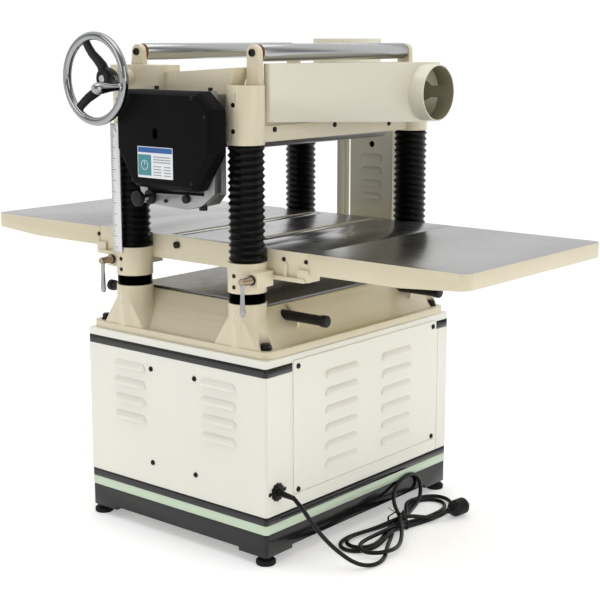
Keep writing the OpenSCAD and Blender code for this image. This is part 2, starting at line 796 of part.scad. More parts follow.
module gearbox_cover() {
    front = [[-76, 1008], [142, 1008], [184, 972], [184, 882], [128, 801], [-52, 801], [-104, 880], [-104, 982]];
    inner = [[-72, 1003], [139, 1003], [179, 969], [179, 884], [125, 806], [-49, 806], [-99, 882], [-99, 979]];
    color(black) difference() {
        yz_plate(gear_x1, cover_x, front);
        yz_plate(gear_x1 - 1, cover_x - 4, inner);
        // oval sight hole
        translate([cover_x - 10, 20, 918]) rotate([90, 0, 90]) linear_extrude(20) {
            circle(7);
            translate([-7, -5]) square([14, 10]);
            translate([0, -5]) circle(7);
            translate([0, 5]) circle(7);
        }
    }
    // blank plate on the front
    color([0.90, 0.92, 0.93]) translate([cover_x, -33, 824]) cube([1, 105, 66]);
    color(black) for (p = [[-88, 970], [168, 960], [-60, 815], [132, 830]])
        translate([cover_x, p[0], p[1]]) rotate([0, 0, -90]) pan_screw(4, 0);
}

module shift_knob() {
    color(steel) xcyl(330, 386, -39, 777, 7);
    color(black) translate([386, -39, 777]) rotate([0, 90, 0]) rotate_extrude()
        polygon([[0, 0], [12, 0], [16.5, 4], [17.5, 9], [16.5, 13], [13, 15], [0, 15]]);
}

// One upright that holds an end of a return roller: it stands on z0
module bracket(z0) {
    difference() {
        translate([7.5, 0, 0]) rotate([90, 0, -90]) linear_extrude(15) {
            translate([0, return_z]) circle(17);
            polygon([[-20, z0], [20, z0], [17, return_z], [-17, return_z]]);
        }
        xcyl(-20, 20, 0, return_z, 6);
    }
}

module roller_brackets() {
    color(cream) {
        translate([tx + 268.5, ty - col_dy, 0]) bracket(1057);
        translate([tx + 268.5, ty + col_dy, 0]) bracket(head_z1);
        translate([tx - 268.5, ty + col_dy, 0]) bracket(head_z1);
        translate([tx - 268.5, ty - col_dy, 0]) bracket(head_z1);
    }
    // axles, clamped by a screw at each end
    color(steel) for (s = [-1, 1]) xcyl(tx - 276, tx + 276, ty + s * col_dy, return_z, 6);
    color(black) for (s = [-1, 1], m = [0, 1]) translate([tx, ty + s * col_dy, return_z]) mirror([m, 0, 0])
        rotate([0, 90, 0]) translate([0, 0, 276]) cylinder(h = 5, r = 8);
}

module return_roller(y) {
    color([0.75, 0.76, 0.77]) difference() {
        xcyl(tx - 258, tx + 258, y, return_z, return_r);
        xcyl(tx - 246, tx + 246, y, return_z, return_r - 2);
        xcyl(tx - 260, tx + 260, y, return_z, 6.05);
    }
}

module return_roller_infeed() {
    return_roller(ty - col_dy);
}

module return_roller_outfeed() {
    return_roller(ty + col_dy);
}

// ---------- handwheel ----------

module handwheel() {
    translate([0, wheel_y, wheel_z]) rotate([0, 90, 0]) {
        // rim
        color(steel) translate([0, 0, wheel_x]) rotate_extrude($fn = 96) polygon(
            [[82, 2], [84, 0], [97, 0], [wheel_r, 3], [wheel_r, 15], [97, 18], [84, 18], [82, 16]]);
        // hub, and spokes that slope out to the rim
        color(black) rotate_extrude()
            polygon([[8, 366], [19, 366], [24, 374], [24, 393], [19, 398], [8, 398]]);
        color(black) for (a = [0, 120, 240]) rotate([0, 0, 90 + grip_a + a]) rotate([90, 0, 0])
            translate([0, 0, -10]) linear_extrude(20)
                polygon([[20, 376], [38, 381], [57, 402], [84, 411], [84, 424], [54, 413], [36, 396], [20, 396]]);
        // shaft with the worm
        color(steel) translate([0, 0, 274]) cylinder(h = 400 - 274, r = 8);
        color(iron_grey) translate([0, 0, 276]) cylinder(h = 22, r = 9.5);
        // grip pin
        color(steel) rotate([0, 0, 90 + grip_a]) translate([grip_at, 0, wheel_x + 10])
            cylinder(h = grip_len, r = 4);
    }
}

module crank_grip() {
    color([0.80, 0.80, 0.80]) translate([0, wheel_y, wheel_z]) rotate([0, 90, 0])
        rotate([0, 0, 90 + grip_a]) translate([grip_at, 0, wheel_x + 19]) rotate_extrude()
            polygon([[4.05, 0], [9, 0], [9, 4], [7, 12], [9, 30], [12.5, 52], [12.5, 60], [10, 70],
                     [5, grip_len], [0, grip_len], [0, grip_len - 8], [4.05, grip_len - 8]]);
}

// ---------- dust hood ----------

// Plan of the hood, inset by t
function hood_plan(t) = [[249 - t, 194], [249 - t, 212 - t], [-136, 290 - t], [-262 + t, 290 - t],
                         [-262 + t, 194]];

module hood_block(t) {
    intersection() {
        translate([0, 0, 900]) linear_extrude(200) polygon(hood_plan(t));
        xz_plate(150, 350, [[260, 943 + t], [260, 1063 - t], [-270, 1060 - t], [-270, 923 + t]]);
    }
}

module dust_hood() {
    color(cream) difference() {
        union() {
            difference() {
                hood_block(0);
                hood_block(sheet);
                translate([-260, 180, 948]) cube([506, 18, 110]);
            }
            ycyl(290, 330, port_x, port_z, port_d / 2);
        }
        ycyl(270, 340, port_x, port_z, port_d / 2 - sheet);
    }
}

// ---------- power cord ----------

// Route of the free cord, from the strain relief down to the floor and to the tied hank
route = [[306, 323, 158], [303, 345, 138], [292, 362, 108], [278, 380, 78], [258, 400, 48],
         [236, 420, 24], [214, 437, 10], [196, 450, 5], [176, 454, 5], [157, 450, 5], [137, 439, 5],
         [118, 427, 5], [96, 413, 5], [76, 403, 5]];

function ring_at(i) = let (
    a = route[max(i - 1, 0)], b = route[min(i + 1, len(route) - 1)],
    t = (b - a) / norm(b - a), u = cross(t, [0, 0, 1]) / norm(cross(t, [0, 0, 1])), v = cross(u, t))
    [for (k = [0:9]) route[i] + cord_d / 2 * (cos(k * 36) * u + sin(k * 36) * v)];

module cord_tube() {
    n = len(route);
    points = [for (i = [0:n - 1]) each ring_at(i)];
    sides = [for (i = [0:n - 2], k = [0:9])
        [i * 10 + k, i * 10 + (k + 1) % 10, (i + 1) * 10 + (k + 1) % 10, (i + 1) * 10 + k]];
    polyhedron(points, concat([[for (k = [9:-1:0]) k]], sides, [[for (k = [0:9]) (n - 1) * 10 + k]]));
}

module cord_inlet() {
    color(black) translate([inlet[0], inlet[1], inlet[2]]) difference() {
        union() {
            rotate([-90, 0, 0]) {
                cylinder(h = 3, r = 19);
                translate([0, 0, 3]) cylinder(h = 3, r = 15);
            }
            for (s = [-1, 1]) translate([s * 24, 0, s * -1]) pan_screw(5, 0);
            for (a = [0:30:330]) rotate([0, a, 0]) translate([18.5, 0, 0])
                rotate([-90, 0, 0]) cylinder(h = 3, r = 2.5);
        }
        translate([0, 2, 0]) rotate([-90, 0, 0]) cylinder(h = 5, r = 8);
    }
}

// Tapered sleeve round the cord where it leaves the stand
module strain_relief() {
    color(black) translate([inlet[0], inlet[1] + 2, inlet[2]]) rotate([-95, 0, 0]) rotate_extrude()
        polygon([[0, 0], [8, 0], [8, 5], [7, 8], [cord_d / 2 + 0.4, 46], [0, 46]]);
}

module power_cord() {
    color(black) cord_tube();
}

// The rest of the cord, folded into a flat hank on the floor, with one loop leaning on the plinth
module cord_hank() {
    color(black) translate([-52, 350, 0]) linear_extrude(24) {
        square([352, 76], center = true);
        for (s = [-1, 1]) translate([s * 176, 0]) circle(38);
    }
    color(black) translate([-224, 277.5, 0]) cube([130, 13, 78]);
}

// Wire tie round the middle of the hank
module cord_tie() {
    color(black) translate([-36, 350, 0]) difference() {
        translate([-3, -40, 0]) cube([6, 80, 26]);
        translate([-4, -38, -1]) cube([8, 76, 25]);
    }
}

module cord_plug() {
    color(black) translate([-150, 411, 21]) rotate([0, 0, 174]) {
        rotate([0, 90, 0]) rotate_extrude()
            polygon([[0, 0], [7, 0], [9, 10], [16, 18], [20, 26], [20, 56], [17, 62], [0, 62]]);
        for (y = [-6, 6]) translate([61, y - 0.8, -3]) cube([17, 1.6, 6]);
    }
}

stand_cabinet();
stand_plinth();
stand_feet();
stand_panels();
stand_fasteners();
trim_bands();
trim_stripe();
motor();
motor_mount();
motor_pulley();
drive_belts();
belt_guard_inner();
belt_guard_outer();
switch_box();
start_button();
stop_button();
base_casting();
base_plate();
columns();
leadscrew_a();
leadscrew_b();
leadscrew_c();
leadscrew_d();
lift_chain();
lifting_bar_1();
lifting_bar_2();
lifting_bar_3();
lifting_bar_4();
lower_bellows();
upper_bellows();
table_casting();
table_nuts();
table_wings();
table_screws();
bed_roller_infeed();
bed_roller_outfeed();
lock_lever_infeed();
lock_lever_outfeed();
scale_strip();
head_casting();
cutterhead();
feed_roller_infeed();
feed_roller_outfeed();
chip_breaker();
kickback_fingers();
gearbox_housing();
gearbox_cover();
shift_knob();
roller_brackets();
return_roller_infeed();
return_roller_outfeed();
handwheel();
crank_grip();
dust_hood();
cord_inlet();
strain_relief();
power_cord();
cord_hank();
cord_tie();
cord_plug();
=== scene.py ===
import bpy, bmesh, json, math
import numpy as np
from mathutils import Vector, Matrix

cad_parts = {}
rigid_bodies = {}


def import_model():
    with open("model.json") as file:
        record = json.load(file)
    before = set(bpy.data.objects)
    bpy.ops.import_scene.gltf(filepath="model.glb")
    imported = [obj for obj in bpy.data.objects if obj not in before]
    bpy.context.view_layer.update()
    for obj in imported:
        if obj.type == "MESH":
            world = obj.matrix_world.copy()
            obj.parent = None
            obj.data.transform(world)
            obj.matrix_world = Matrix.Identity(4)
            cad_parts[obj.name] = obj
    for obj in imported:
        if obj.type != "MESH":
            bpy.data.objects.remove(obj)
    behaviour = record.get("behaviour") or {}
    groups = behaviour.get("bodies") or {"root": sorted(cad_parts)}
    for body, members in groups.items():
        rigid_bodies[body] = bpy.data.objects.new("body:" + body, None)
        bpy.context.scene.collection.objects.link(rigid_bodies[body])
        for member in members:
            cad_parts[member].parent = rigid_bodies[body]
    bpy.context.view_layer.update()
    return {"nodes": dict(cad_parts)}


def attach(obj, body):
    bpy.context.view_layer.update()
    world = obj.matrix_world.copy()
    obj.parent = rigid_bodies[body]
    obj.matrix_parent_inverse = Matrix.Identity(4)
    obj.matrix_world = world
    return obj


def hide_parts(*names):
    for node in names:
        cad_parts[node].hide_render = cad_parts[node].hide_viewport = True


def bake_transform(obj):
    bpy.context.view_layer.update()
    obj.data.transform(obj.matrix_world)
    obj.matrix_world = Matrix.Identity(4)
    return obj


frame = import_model()
NODES = frame["nodes"]
scene = bpy.context.scene

# ---------- camera ----------
cam_data = bpy.data.cameras.new("camera")
cam_data.lens, cam_data.sensor_width = 79.76, 36.0
cam = bpy.data.objects.new("camera", cam_data)
scene.collection.objects.link(cam)
cam.location = (2.3564, 2.0500, 1.1189)
cam.rotation_mode = "QUATERNION"
cam.rotation_quaternion = Vector((-0.7533, -0.6282, -0.1947)).to_track_quat("-Z", "Y")
scene.camera = cam
scene.view_settings.view_transform = "Standard"


# ---------- mesh helpers ----------
def put(name, verts, faces, body, mat, sharp=38):
    """Makes one piece; it rides on body, or stays free when body is None."""
    me = bpy.data.meshes.new(name)
    me.from_pydata([tuple(v) for v in verts], [], [tuple(f) for f in faces])
    bm = bmesh.new()
    bm.from_mesh(me)
    bmesh.ops.remove_doubles(bm, verts=bm.verts, dist=1e-6)
    bmesh.ops.recalc_face_normals(bm, faces=bm.faces)
    bm.to_mesh(me)
    bm.free()
    ob = bpy.data.objects.new(name, me)
    scene.collection.objects.link(ob)
    me.shade_smooth()
    me.set_sharp_from_angle(angle=math.radians(sharp))
    me.materials.append(mat)
    if body:
        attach(ob, body)
    return ob


AXES = {"X": Matrix(((0, 0, 1), (1, 0, 0), (0, 1, 0))), "Y": Matrix(((0, 1, 0), (0, 0, 1), (1, 0, 0))),
        "Z": Matrix.Identity(3)}


def lathe_data(profile, origin, axis="X", segs=64, ring=False):
    """profile is (radius, distance along the axis) in mm; ring closes it on itself."""
    m = AXES[axis] if isinstance(axis, str) else axis
    o = Vector(origin) / 1000
    verts, faces, n = [], [], len(profile)
    for k in range(segs):
        a = 2 * math.pi * k / segs
        for r, t in profile:
            verts.append(o + m @ (Vector((r * math.cos(a), r * math.sin(a), t)) / 1000))
    for k in range(segs):
        k2 = (k + 1) % segs
        for i in range(n if ring else n - 1):
            j = (i + 1) % n
            a, b, c, d = k * n + i, k * n + j, k2 * n + j, k2 * n + i
            if profile[i][0] < 1e-6:
                faces.append((a, b, c))
            elif profile[j][0] < 1e-6:
                faces.append((a, b, d))
            else:
                faces.append((a, b, c, d))
    return verts, faces


def lathe(name, profile, origin, body, mat, axis="X", segs=64, ring=False, sharp=38):
    v, f = lathe_data(profile, origin, axis, segs, ring)
    return put(name, v, f, body, mat, sharp=sharp)


def merged(name, parts, body, mat, sharp=38):
    """parts are (vertices, faces) pairs that become one piece."""
    verts, faces = [], []
    for v, f in parts:
        n = len(verts)
        verts += list(v)
        faces += [tuple(i + n for i in t) for t in f]
    return put(name, verts, faces, body, mat, sharp=sharp)


def prism_data(outline, low, high, axis="X"):
    """outline in mm in the plane across the axis: (Y, Z) for X, (X, Z) for Y and (X, Y) for Z."""
    def at(p, t):
        x, y, z = {"X": (t, p[0], p[1]), "Y": (p[0], t, p[1]), "Z": (p[0], p[1], t)}[axis]
        return Vector((x, y, z)) / 1000
    n = len(outline)
    verts = [at(p, low) for p in outline] + [at(p, high) for p in outline]
    faces = [tuple(range(n)), tuple(range(n, 2 * n))]
    faces += [(i, (i + 1) % n, n + (i + 1) % n, n + i) for i in range(n)]
    return verts, faces


def rounded(points, r, steps=5):
    """The outline with its corners rounded to radius r (a number, or one for each corner)."""
    out, n = [], len(points)
    for i in range(n):
        p, a, b = (np.array(points[k % n], float) for k in (i, i - 1, i + 1))
        rr = r[i] if isinstance(r, (list, tuple)) else r
        u, v = (a - p) / np.linalg.norm(a - p), (b - p) / np.linalg.norm(b - p)
        half = math.acos(max(-1, min(1, float(u @ v)))) / 2
        if rr <= 0 or half > 1.5:
            out.append(tuple(p))
            continue
        t = min(rr / math.tan(half), 0.48 * np.linalg.norm(a - p), 0.48 * np.linalg.norm(b - p))
        rr = t * math.tan(half)
        c = p + (u + v) / np.linalg.norm(u + v) * rr / math.sin(half)
        s, e = p + u * t - c, p + v * t - c
        a0, a1 = math.atan2(s[1], s[0]), math.atan2(e[1], e[0])
        d = (a1 - a0 + math.pi) % (2 * math.pi) - math.pi
        out += [tuple(c + rr * np.array((math.cos(a0 + d * k / steps), math.sin(a0 + d * k / steps))))
                for k in range(steps + 1)]
    return out


def bevel(ob, width, segs=2, angle=35):
    w = ob.modifiers.new("weld", "WELD")
    w.merge_threshold = 1e-5
    b = ob.modifiers.new("bevel", "BEVEL")
    b.width, b.segments, b.limit_method = width / 1000, segs, "ANGLE"
    b.angle_limit = math.radians(angle)
    b.harden_normals = True
    b.use_clamp_overlap = True
    return ob


# ---------- materials ----------
def nodes_of(name):
    m = bpy.data.materials.new(name)
    m.use_nodes = True
    t = m.node_tree
    return m, t, t.nodes["Principled BSDF"]


def new(t, kind, **sockets):
    n = t.nodes.new(kind)
    for k, v in sockets.items():
        n.inputs[k].default_value = v
    return n


def coords(t, stretch=(1, 1, 1)):
    c = t.nodes.new("ShaderNodeTexCoord")
    m = t.nodes.new("ShaderNodeMapping")
    m.inputs["Scale"].default_value = stretch
    t.links.new(c.outputs["Object"], m.inputs["Vector"])
    return m.outputs["Vector"]


def noise(t, vec, scale, detail=3.0, rough=0.55):
    n = new(t, "ShaderNodeTexNoise", Scale=scale, Detail=detail, Roughness=rough)
    t.links.new(vec, n.inputs["Vector"])
    return n.outputs["Fac"]


def ramp(t, fac, stops):
    r = t.nodes.new("ShaderNodeValToRGB")
    e = r.color_ramp.elements
    while len(e) < len(stops):
        e.new(0.5)
    for k, (p, c) in enumerate(stops):
        e[k].position = p
        e[k].color = (*c, 1)
    t.links.new(fac, r.inputs["Fac"])
    return r.outputs["Color"]


def bump(t, bsdf, height, strength, distance, before=None):
    b = new(t, "ShaderNodeBump", Strength=strength, Distance=distance)
    t.links.new(height, b.inputs["Height"])
    if before:
        t.links.new(before, b.inputs["Normal"])
    t.links.new(b.outputs["Normal"], bsdf.inputs["Normal"])
    return b.outputs["Normal"]


def shade(c, f):
    return tuple(min(1.0, x * f) for x in c)


def finish_of(name, colour, rough, metal=0.0, tone=0.04, tone_scale=9.0, rough_span=0.05, rough_scale=30.0,
              peel=None, coarse=None, grain=None, coat=0.0, coat_rough=0.1, spec=0.5):
    """A surface whose colour and roughness drift a little, with up to two scales of bump.
    peel and coarse are (scale, strength, distance); grain is (stretch, scale, strength, distance)."""
    m, t, p = nodes_of(name)
    vec = coords(t)
    low = noise(t, vec, tone_scale, 4.0, 0.6)
    col = ramp(t, low, [(0.3, shade(colour, 1 - tone)), (0.7, shade(colour, 1 + tone * 0.6))])
    t.links.new(col, p.inputs["Base Color"])
    rn = noise(t, vec, rough_scale, 3.0)
    mr = new(t, "ShaderNodeMapRange")
    mr.inputs["To Min"].default_value = max(0.02, rough - rough_span)
    mr.inputs["To Max"].default_value = rough + rough_span
    t.links.new(rn, mr.inputs["Value"])
    t.links.new(mr.outputs["Result"], p.inputs["Roughness"])
    p.inputs["Metallic"].default_value = metal
    n = None
    if coarse:
        n = bump(t, p, noise(t, vec, coarse[0], 5.0, 0.6), coarse[1], coarse[2])
    if peel:
        n = bump(t, p, noise(t, vec, peel[0], 2.0, 0.5), peel[1], peel[2], n)
    if grain:
        n = bump(t, p, noise(t, coords(t, grain[0]), grain[1], 4.0, 0.65), grain[2], grain[3], n)
    p.inputs["Coat Weight"].default_value = coat
    p.inputs["Coat Roughness"].default_value = coat_rough
    p.inputs["Specular IOR Level"].default_value = spec
    return m


CREAM = (0.70, 0.63, 0.455)
OFFWHITE = (0.84, 0.83, 0.74)
M = {
    "cast_cream": finish_of("cast_cream", CREAM, 0.36, tone=0.035, coarse=(55, 0.22, 0.0012),
        peel=(420, 0.16, 0.0004), coat=0.25, coat_rough=0.18),
    "sheet_cream": finish_of("sheet_cream", (0.76, 0.72, 0.585), 0.30, tone=0.02,
        peel=(520, 0.12, 0.0003), coat=0.3, coat_rough=0.15),
    "stand_white": finish_of("stand_white", OFFWHITE, 0.30, tone=0.02, tone_scale=4,
        coarse=(9, 0.05, 0.003), peel=(560, 0.12, 0.0003), coat=0.35, coat_rough=0.14),
    "gloss_black": finish_of("gloss_black", (0.004, 0.0045, 0.004), 0.22, tone=0.15,
        coarse=(7, 0.06, 0.003), peel=(300, 0.05, 0.0003), coat_rough=0.06, coat=0.3, spec=0.3),
    "mint": finish_of("mint", (0.62, 0.735, 0.56), 0.34, tone=0.02, peel=(500, 0.08, 0.0002), coat=0.2,
        coat_rough=0.2),
    "crinkle_black": finish_of("crinkle_black", (0.0035, 0.0035, 0.0036), 0.50, tone=0.2,
        coarse=(30, 0.10, 0.0008), peel=(900, 0.35, 0.0004), spec=0.06),
    "satin_black": finish_of("satin_black", (0.007, 0.007, 0.007), 0.38, tone=0.15,
        peel=(700, 0.15, 0.0003), spec=0.22),
    "rubber": finish_of("bellows_rubber", (0.002, 0.002, 0.002), 0.30, tone=0.2, tone_scale=40,
        rough_span=0.08, peel=(260, 0.10, 0.0004), coat_rough=0.25, coat=0.05, spec=0.12),
    "foot_rubber": finish_of("foot_rubber", (0.01, 0.01, 0.01), 0.7, tone=0.2, peel=(900, 0.3, 0.0003),
        spec=0.2),
    "cord": finish_of("cord_pvc", (0.006, 0.006, 0.006), 0.34, tone=0.2, tone_scale=60, rough_span=0.08,
        peel=(700, 0.10, 0.0002), spec=0.25),
    "chrome": finish_of("chrome", (0.34, 0.345, 0.35), 0.10, 1.0, tone=0.02, rough_span=0.04,
        rough_scale=60, peel=(90, 0.03, 0.0004)),
    "bright_steel": finish_of("bright_steel", (0.60, 0.60, 0.59), 0.24, 1.0, tone=0.04, rough_span=0.06,
        grain=((1, 60, 60), 12, 0.10, 0.0003)),
    "tube_steel": finish_of("tube_steel", (0.42, 0.43, 0.43), 0.20, 1.0, tone=0.03, rough_span=0.06,
        rough_scale=14, grain=((400, 3, 3), 3, 0.06, 0.0002)),
    "dark_plate": finish_of("dark_plate", (0.20, 0.20, 0.205), 0.30, 1.0, tone=0.12, tone_scale=6,
        rough_span=0.08, coarse=(18, 0.05, 0.002), grain=((1, 60, 1), 20, 0.08, 0.0003)),
    "iron": finish_of("cast_iron", (0.13, 0.13, 0.128), 0.48, 0.55, tone=0.12, coarse=(90, 0.30, 0.0012),
        peel=(500, 0.2, 0.0005)),
    "grey_metal": finish_of("grey_metal", (0.33, 0.33, 0.33), 0.38, 0.8, tone=0.08,
        coarse=(80, 0.2, 0.001)),
    "bronze": finish_of("bronze", (0.52, 0.33, 0.17), 0.32, 1.0, tone=0.08, peel=(300, 0.1, 0.0003)),
    "copper_hub": finish_of("copper_hub", (0.40, 0.30, 0.22), 0.24, 1.0, tone=0.12, tone_scale=60,
        peel=(200, 0.08, 0.0003)),
    "ring_brown": finish_of("ring_brown", (0.20, 0.065, 0.035), 0.35, tone=0.12, tone_scale=60,
        peel=(600, 0.1, 0.0003)),
    "belt": finish_of("belt_rubber", (0.015, 0.015, 0.015), 0.75, tone=0.2, peel=(800, 0.3, 0.0004)),
    "motor_grey": finish_of("motor_grey", (0.10, 0.11, 0.115), 0.45, tone=0.1, coarse=(60, 0.2, 0.001),
        peel=(500, 0.15, 0.0004)),
    "plate_white": finish_of("plate_white", (0.78, 0.80, 0.82), 0.35, tone=0.015,
        peel=(400, 0.05, 0.0002)),
    "plate_blue": finish_of("plate_blue", (0.015, 0.10, 0.34), 0.35, tone=0.05, peel=(400, 0.05, 0.0002)),
    "plate_teal": finish_of("plate_teal", (0.05, 0.25, 0.27), 0.35, tone=0.05, peel=(400, 0.05, 0.0002)),
    "plate_grey": finish_of("plate_grey", (0.30, 0.32, 0.34), 0.35, tone=0.05, peel=(400, 0.05, 0.0002)),
    # darkened cream for the inside of the dust port: painted shade on the port's inner wall
    "duct_painted_shade": finish_of("duct_painted_shade", (0.26, 0.235, 0.155), 0.55, tone=0.12,
        peel=(300, 0.1, 0.0003), spec=0.2),
    # near-black quads behind the louvre lips: painted shade for the openings
    "slot_painted_shade": finish_of("slot_painted_shade", (0.02, 0.02, 0.018), 0.8, tone=0.2, peel=(300, 0.1, 0.0003)),
    "green": finish_of("button_green", (0.02, 0.22, 0.05), 0.3, tone=0.06, peel=(500, 0.06, 0.0002)),
    "red": finish_of("button_red", (0.50, 0.02, 0.015), 0.3, tone=0.06, peel=(500, 0.06, 0.0002)),
}


def table_steel():
    """Ground iron: long fine scratches along the feed, faint grinding passes across it."""
    m, t, p = nodes_of("table_steel")
    fine = noise(t, coords(t, (220, 1.2, 1)), 6.0, 5.0, 0.7)
    cloud = noise(t, coords(t), 5.0, 4.0, 0.6)
    col = ramp(t, cloud, [(0.3, (0.285, 0.285, 0.283)), (0.7, (0.36, 0.36, 0.357))])
    t.links.new(col, p.inputs["Base Color"])
    mr = new(t, "ShaderNodeMapRange")
    mr.inputs["To Min"].default_value, mr.inputs["To Max"].default_value = 0.20, 0.34
    t.links.new(fine, mr.inputs["Value"])
    t.links.new(mr.outputs["Result"], p.inputs["Roughness"])
    n = bump(t, p, fine, 0.16, 0.0002)
    bump(t, p, noise(t, coords(t, (1, 30, 1)), 5.0, 3.0), 0.05, 0.0008, n)
    p.inputs["Metallic"].default_value = 1.0
    p.inputs["Anisotropic"].default_value = 0.45
    return m


M["table_steel"] = table_steel()


def scale_metal():
    """Bright strip with a graduation every 5 mm, longer every 25 mm."""
    m, t, p = nodes_of("scale_metal")
    c = t.nodes.new("ShaderNodeTexCoord")
    s = t.nodes.new("ShaderNodeSeparateXYZ")
    t.links.new(c.outputs["Object"], s.inputs["Vector"])

    def math_node(op, a, b):
        n = t.nodes.new("ShaderNodeMath")
        n.operation = op
        for k, v in enumerate((a, b)):
            if isinstance(v, float):
                n.inputs[k].default_value = v
            else:
                t.links.new(v, n.inputs[k])
        return n.outputs[0]
    small = math_node("LESS_THAN", math_node("FLOORED_MODULO", s.outputs["Z"], 0.005), 0.0009)
    large = math_node("LESS_THAN", math_node("FLOORED_MODULO", s.outputs["Z"], 0.025), 0.0012)
    near = math_node("LESS_THAN", s.outputs["Y"], -0.178)
    nearer = math_node("LESS_THAN", s.outputs["Y"], -0.171)
    mark = math_node("MAXIMUM", math_node("MULTIPLY", small, near), math_node("MULTIPLY", large, nearer))
    col = ramp(t, mark, [(0.0, (0.60, 0.61, 0.60)), (1.0, (0.03, 0.03, 0.03))])
    t.links.new(col, p.inputs["Base Color"])
    p.inputs["Metallic"].default_value = 0.85
    p.inputs["Roughness"].default_value = 0.32
    bump(t, p, noise(t, coords(t, (1, 1, 200)), 4.0, 3.0), 0.05, 0.0002)
    return m


M["scale_metal"] = scale_metal()


def dress(node, mat, bevel_mm=0, segs=2, angle=35, sharp=35):
    """Gives a CAD node its finish, soft edges and smooth curves."""
    o = NODES[node]
    mats = mat if isinstance(mat, (list, tuple)) else [mat]
    o.data.materials.clear()
    for k in mats:
        o.data.materials.append(M[k])
    for poly in o.data.polygons:
        poly.material_index = 0
    o.data.shade_smooth()
    o.data.set_sharp_from_angle(angle=math.radians(sharp))
    if bevel_mm:
        bevel(o, bevel_mm, segs, angle)
    return o


def paint_faces(node, index, test):
    """Gives material slot index to the faces of a CAD node whose centre and normal pass the test (mm)."""
    me = NODES[node].data
    for poly in me.polygons:
        if test(poly.center * 1000, poly.normal):
            poly.material_index = index


# ---------- power cord ----------
CORD_D = 0.0095
ROUTE = [(306, 323, 158), (303, 345, 138), (292, 362, 108), (278, 380, 78), (258, 400, 48),
         (236, 420, 24), (214, 437, 10), (196, 450, 5), (176, 454, 5), (157, 450, 5), (137, 439, 5),
         (118, 427, 5), (96, 413, 5), (76, 403, 5)]
WAIST = (-36, 350)
# passes through the tied middle, then out to each end loop and back
HANK = [(46, 388, 5), (10, 370, 5), (-36, 355, 5), (-80, 340, 5), (-122, 322, 5), (-160, 302, 5),
        (-188, 292, 8), (-212, 286, 18), (-222, 284, 40), (-213, 283, 62), (-190, 283, 72),
        (-163, 283, 73), (-137, 283, 71), (-115, 284, 62), (-100, 288, 48), (-86, 302, 36),
        (-66, 328, 31), (-36, 357, 29), (-4, 383, 25), (30, 408, 20), (70, 429, 15), (100, 438, 15),
        (126, 438, 15), (150, 427, 15), (160, 403, 17), (150, 379, 21), (126, 368, 23), (92, 365, 22),
        (60, 364, 19), (12, 362, 15), (-36, 360, 14), (-90, 334, 15), (-140, 302, 15), (-190, 286, 9),
        (-226, 282, 6), (-251, 293, 5), (-263, 318, 5), (-255, 345, 5), (-232, 367, 5), (-200, 381, 5),
        (-160, 388, 5), (-115, 389, 5), (-66, 382, 5), (-36, 366, 5), (10, 376, 6), (60, 384, 5),
        (95, 388, 5), (125, 387, 5), (150.5, 376.5, 5), (161, 351, 5), (150.5, 325.5, 5), (125, 315, 5),
        (95, 314, 5), (60, 316, 5), (10, 322, 5), (-36, 334, 5), (-90, 318, 8), (-140, 303, 6),
        (-172, 297, 5), (-203, 298, 5), (-227, 308, 5), (-237, 331, 5), (-227, 354, 5), (-203, 365, 5),
        (-170, 371, 5), (-135, 373, 5), (-88, 367, 8), (-36, 347, 14), (20, 360, 14), (60, 374, 13),
        (86, 379, 14), (108, 378, 14), (129.6, 369, 14), (138.5, 347.5, 14), (129.6, 326, 14),
        (108, 317, 14), (86, 317, 14), (60, 321, 14), (15, 333, 16), (-36, 349, 23), (-75, 368, 20),
        (-105, 388, 14), (-132, 404, 15), (-152, 411.2, 21)]


def spline(points, step):
    """A smooth curve through the points (centripetal Catmull-Rom), one point every step."""
    p = np.array(points, float)
    p = np.vstack([2 * p[0] - p[1], p, 2 * p[-1] - p[-2]])
    out = []
    for i in range(1, len(p) - 2):
        a, b, c, d = p[i - 1:i + 3]
        t = np.cumsum([0] + [max(np.linalg.norm(v), 1e-9) ** 0.5 for v in (b - a, c - b, d - c)])
        for s in np.linspace(t[1], t[2], 24, endpoint=False):
            l1 = [(t[k + 1] - s) / (t[k + 1] - t[k]) * q + (s - t[k]) / (t[k + 1] - t[k]) * r
                  for k, (q, r) in enumerate(((a, b), (b, c), (c, d)))]
            l2 = [(t[k + 2] - s) / (t[k + 2] - t[k]) * l1[k] + (s - t[k]) / (t[k + 2] - t[k]) * l1[k + 1]
                  for k in (0, 1)]
            out.append((t[2] - s) / (t[2] - t[1]) * l2[0] + (s - t[1]) / (t[2] - t[1]) * l2[1])
    out.append(p[-2])
    return even(np.array(out), step)


def even(q, step):
    """The same line with its points spread evenly, about one every step."""
    s = np.concatenate([[0], np.cumsum(np.linalg.norm(np.diff(q, axis=0), axis=1))])
    n = max(2, int(round(s[-1] / step)))
    w = np.linspace(0, s[-1], n + 1)
    return np.stack([np.interp(w, s, q[:, k]) for k in range(3)], 1)


SETTLE_ROUNDS, CALM_ROUNDS = 360, 60   # in the calm rounds at the end nothing pulls on the cord
FREE_FALL_POINTS = 60                  # the first points, which hang from the stand
PLINTH_FACE = 276.8


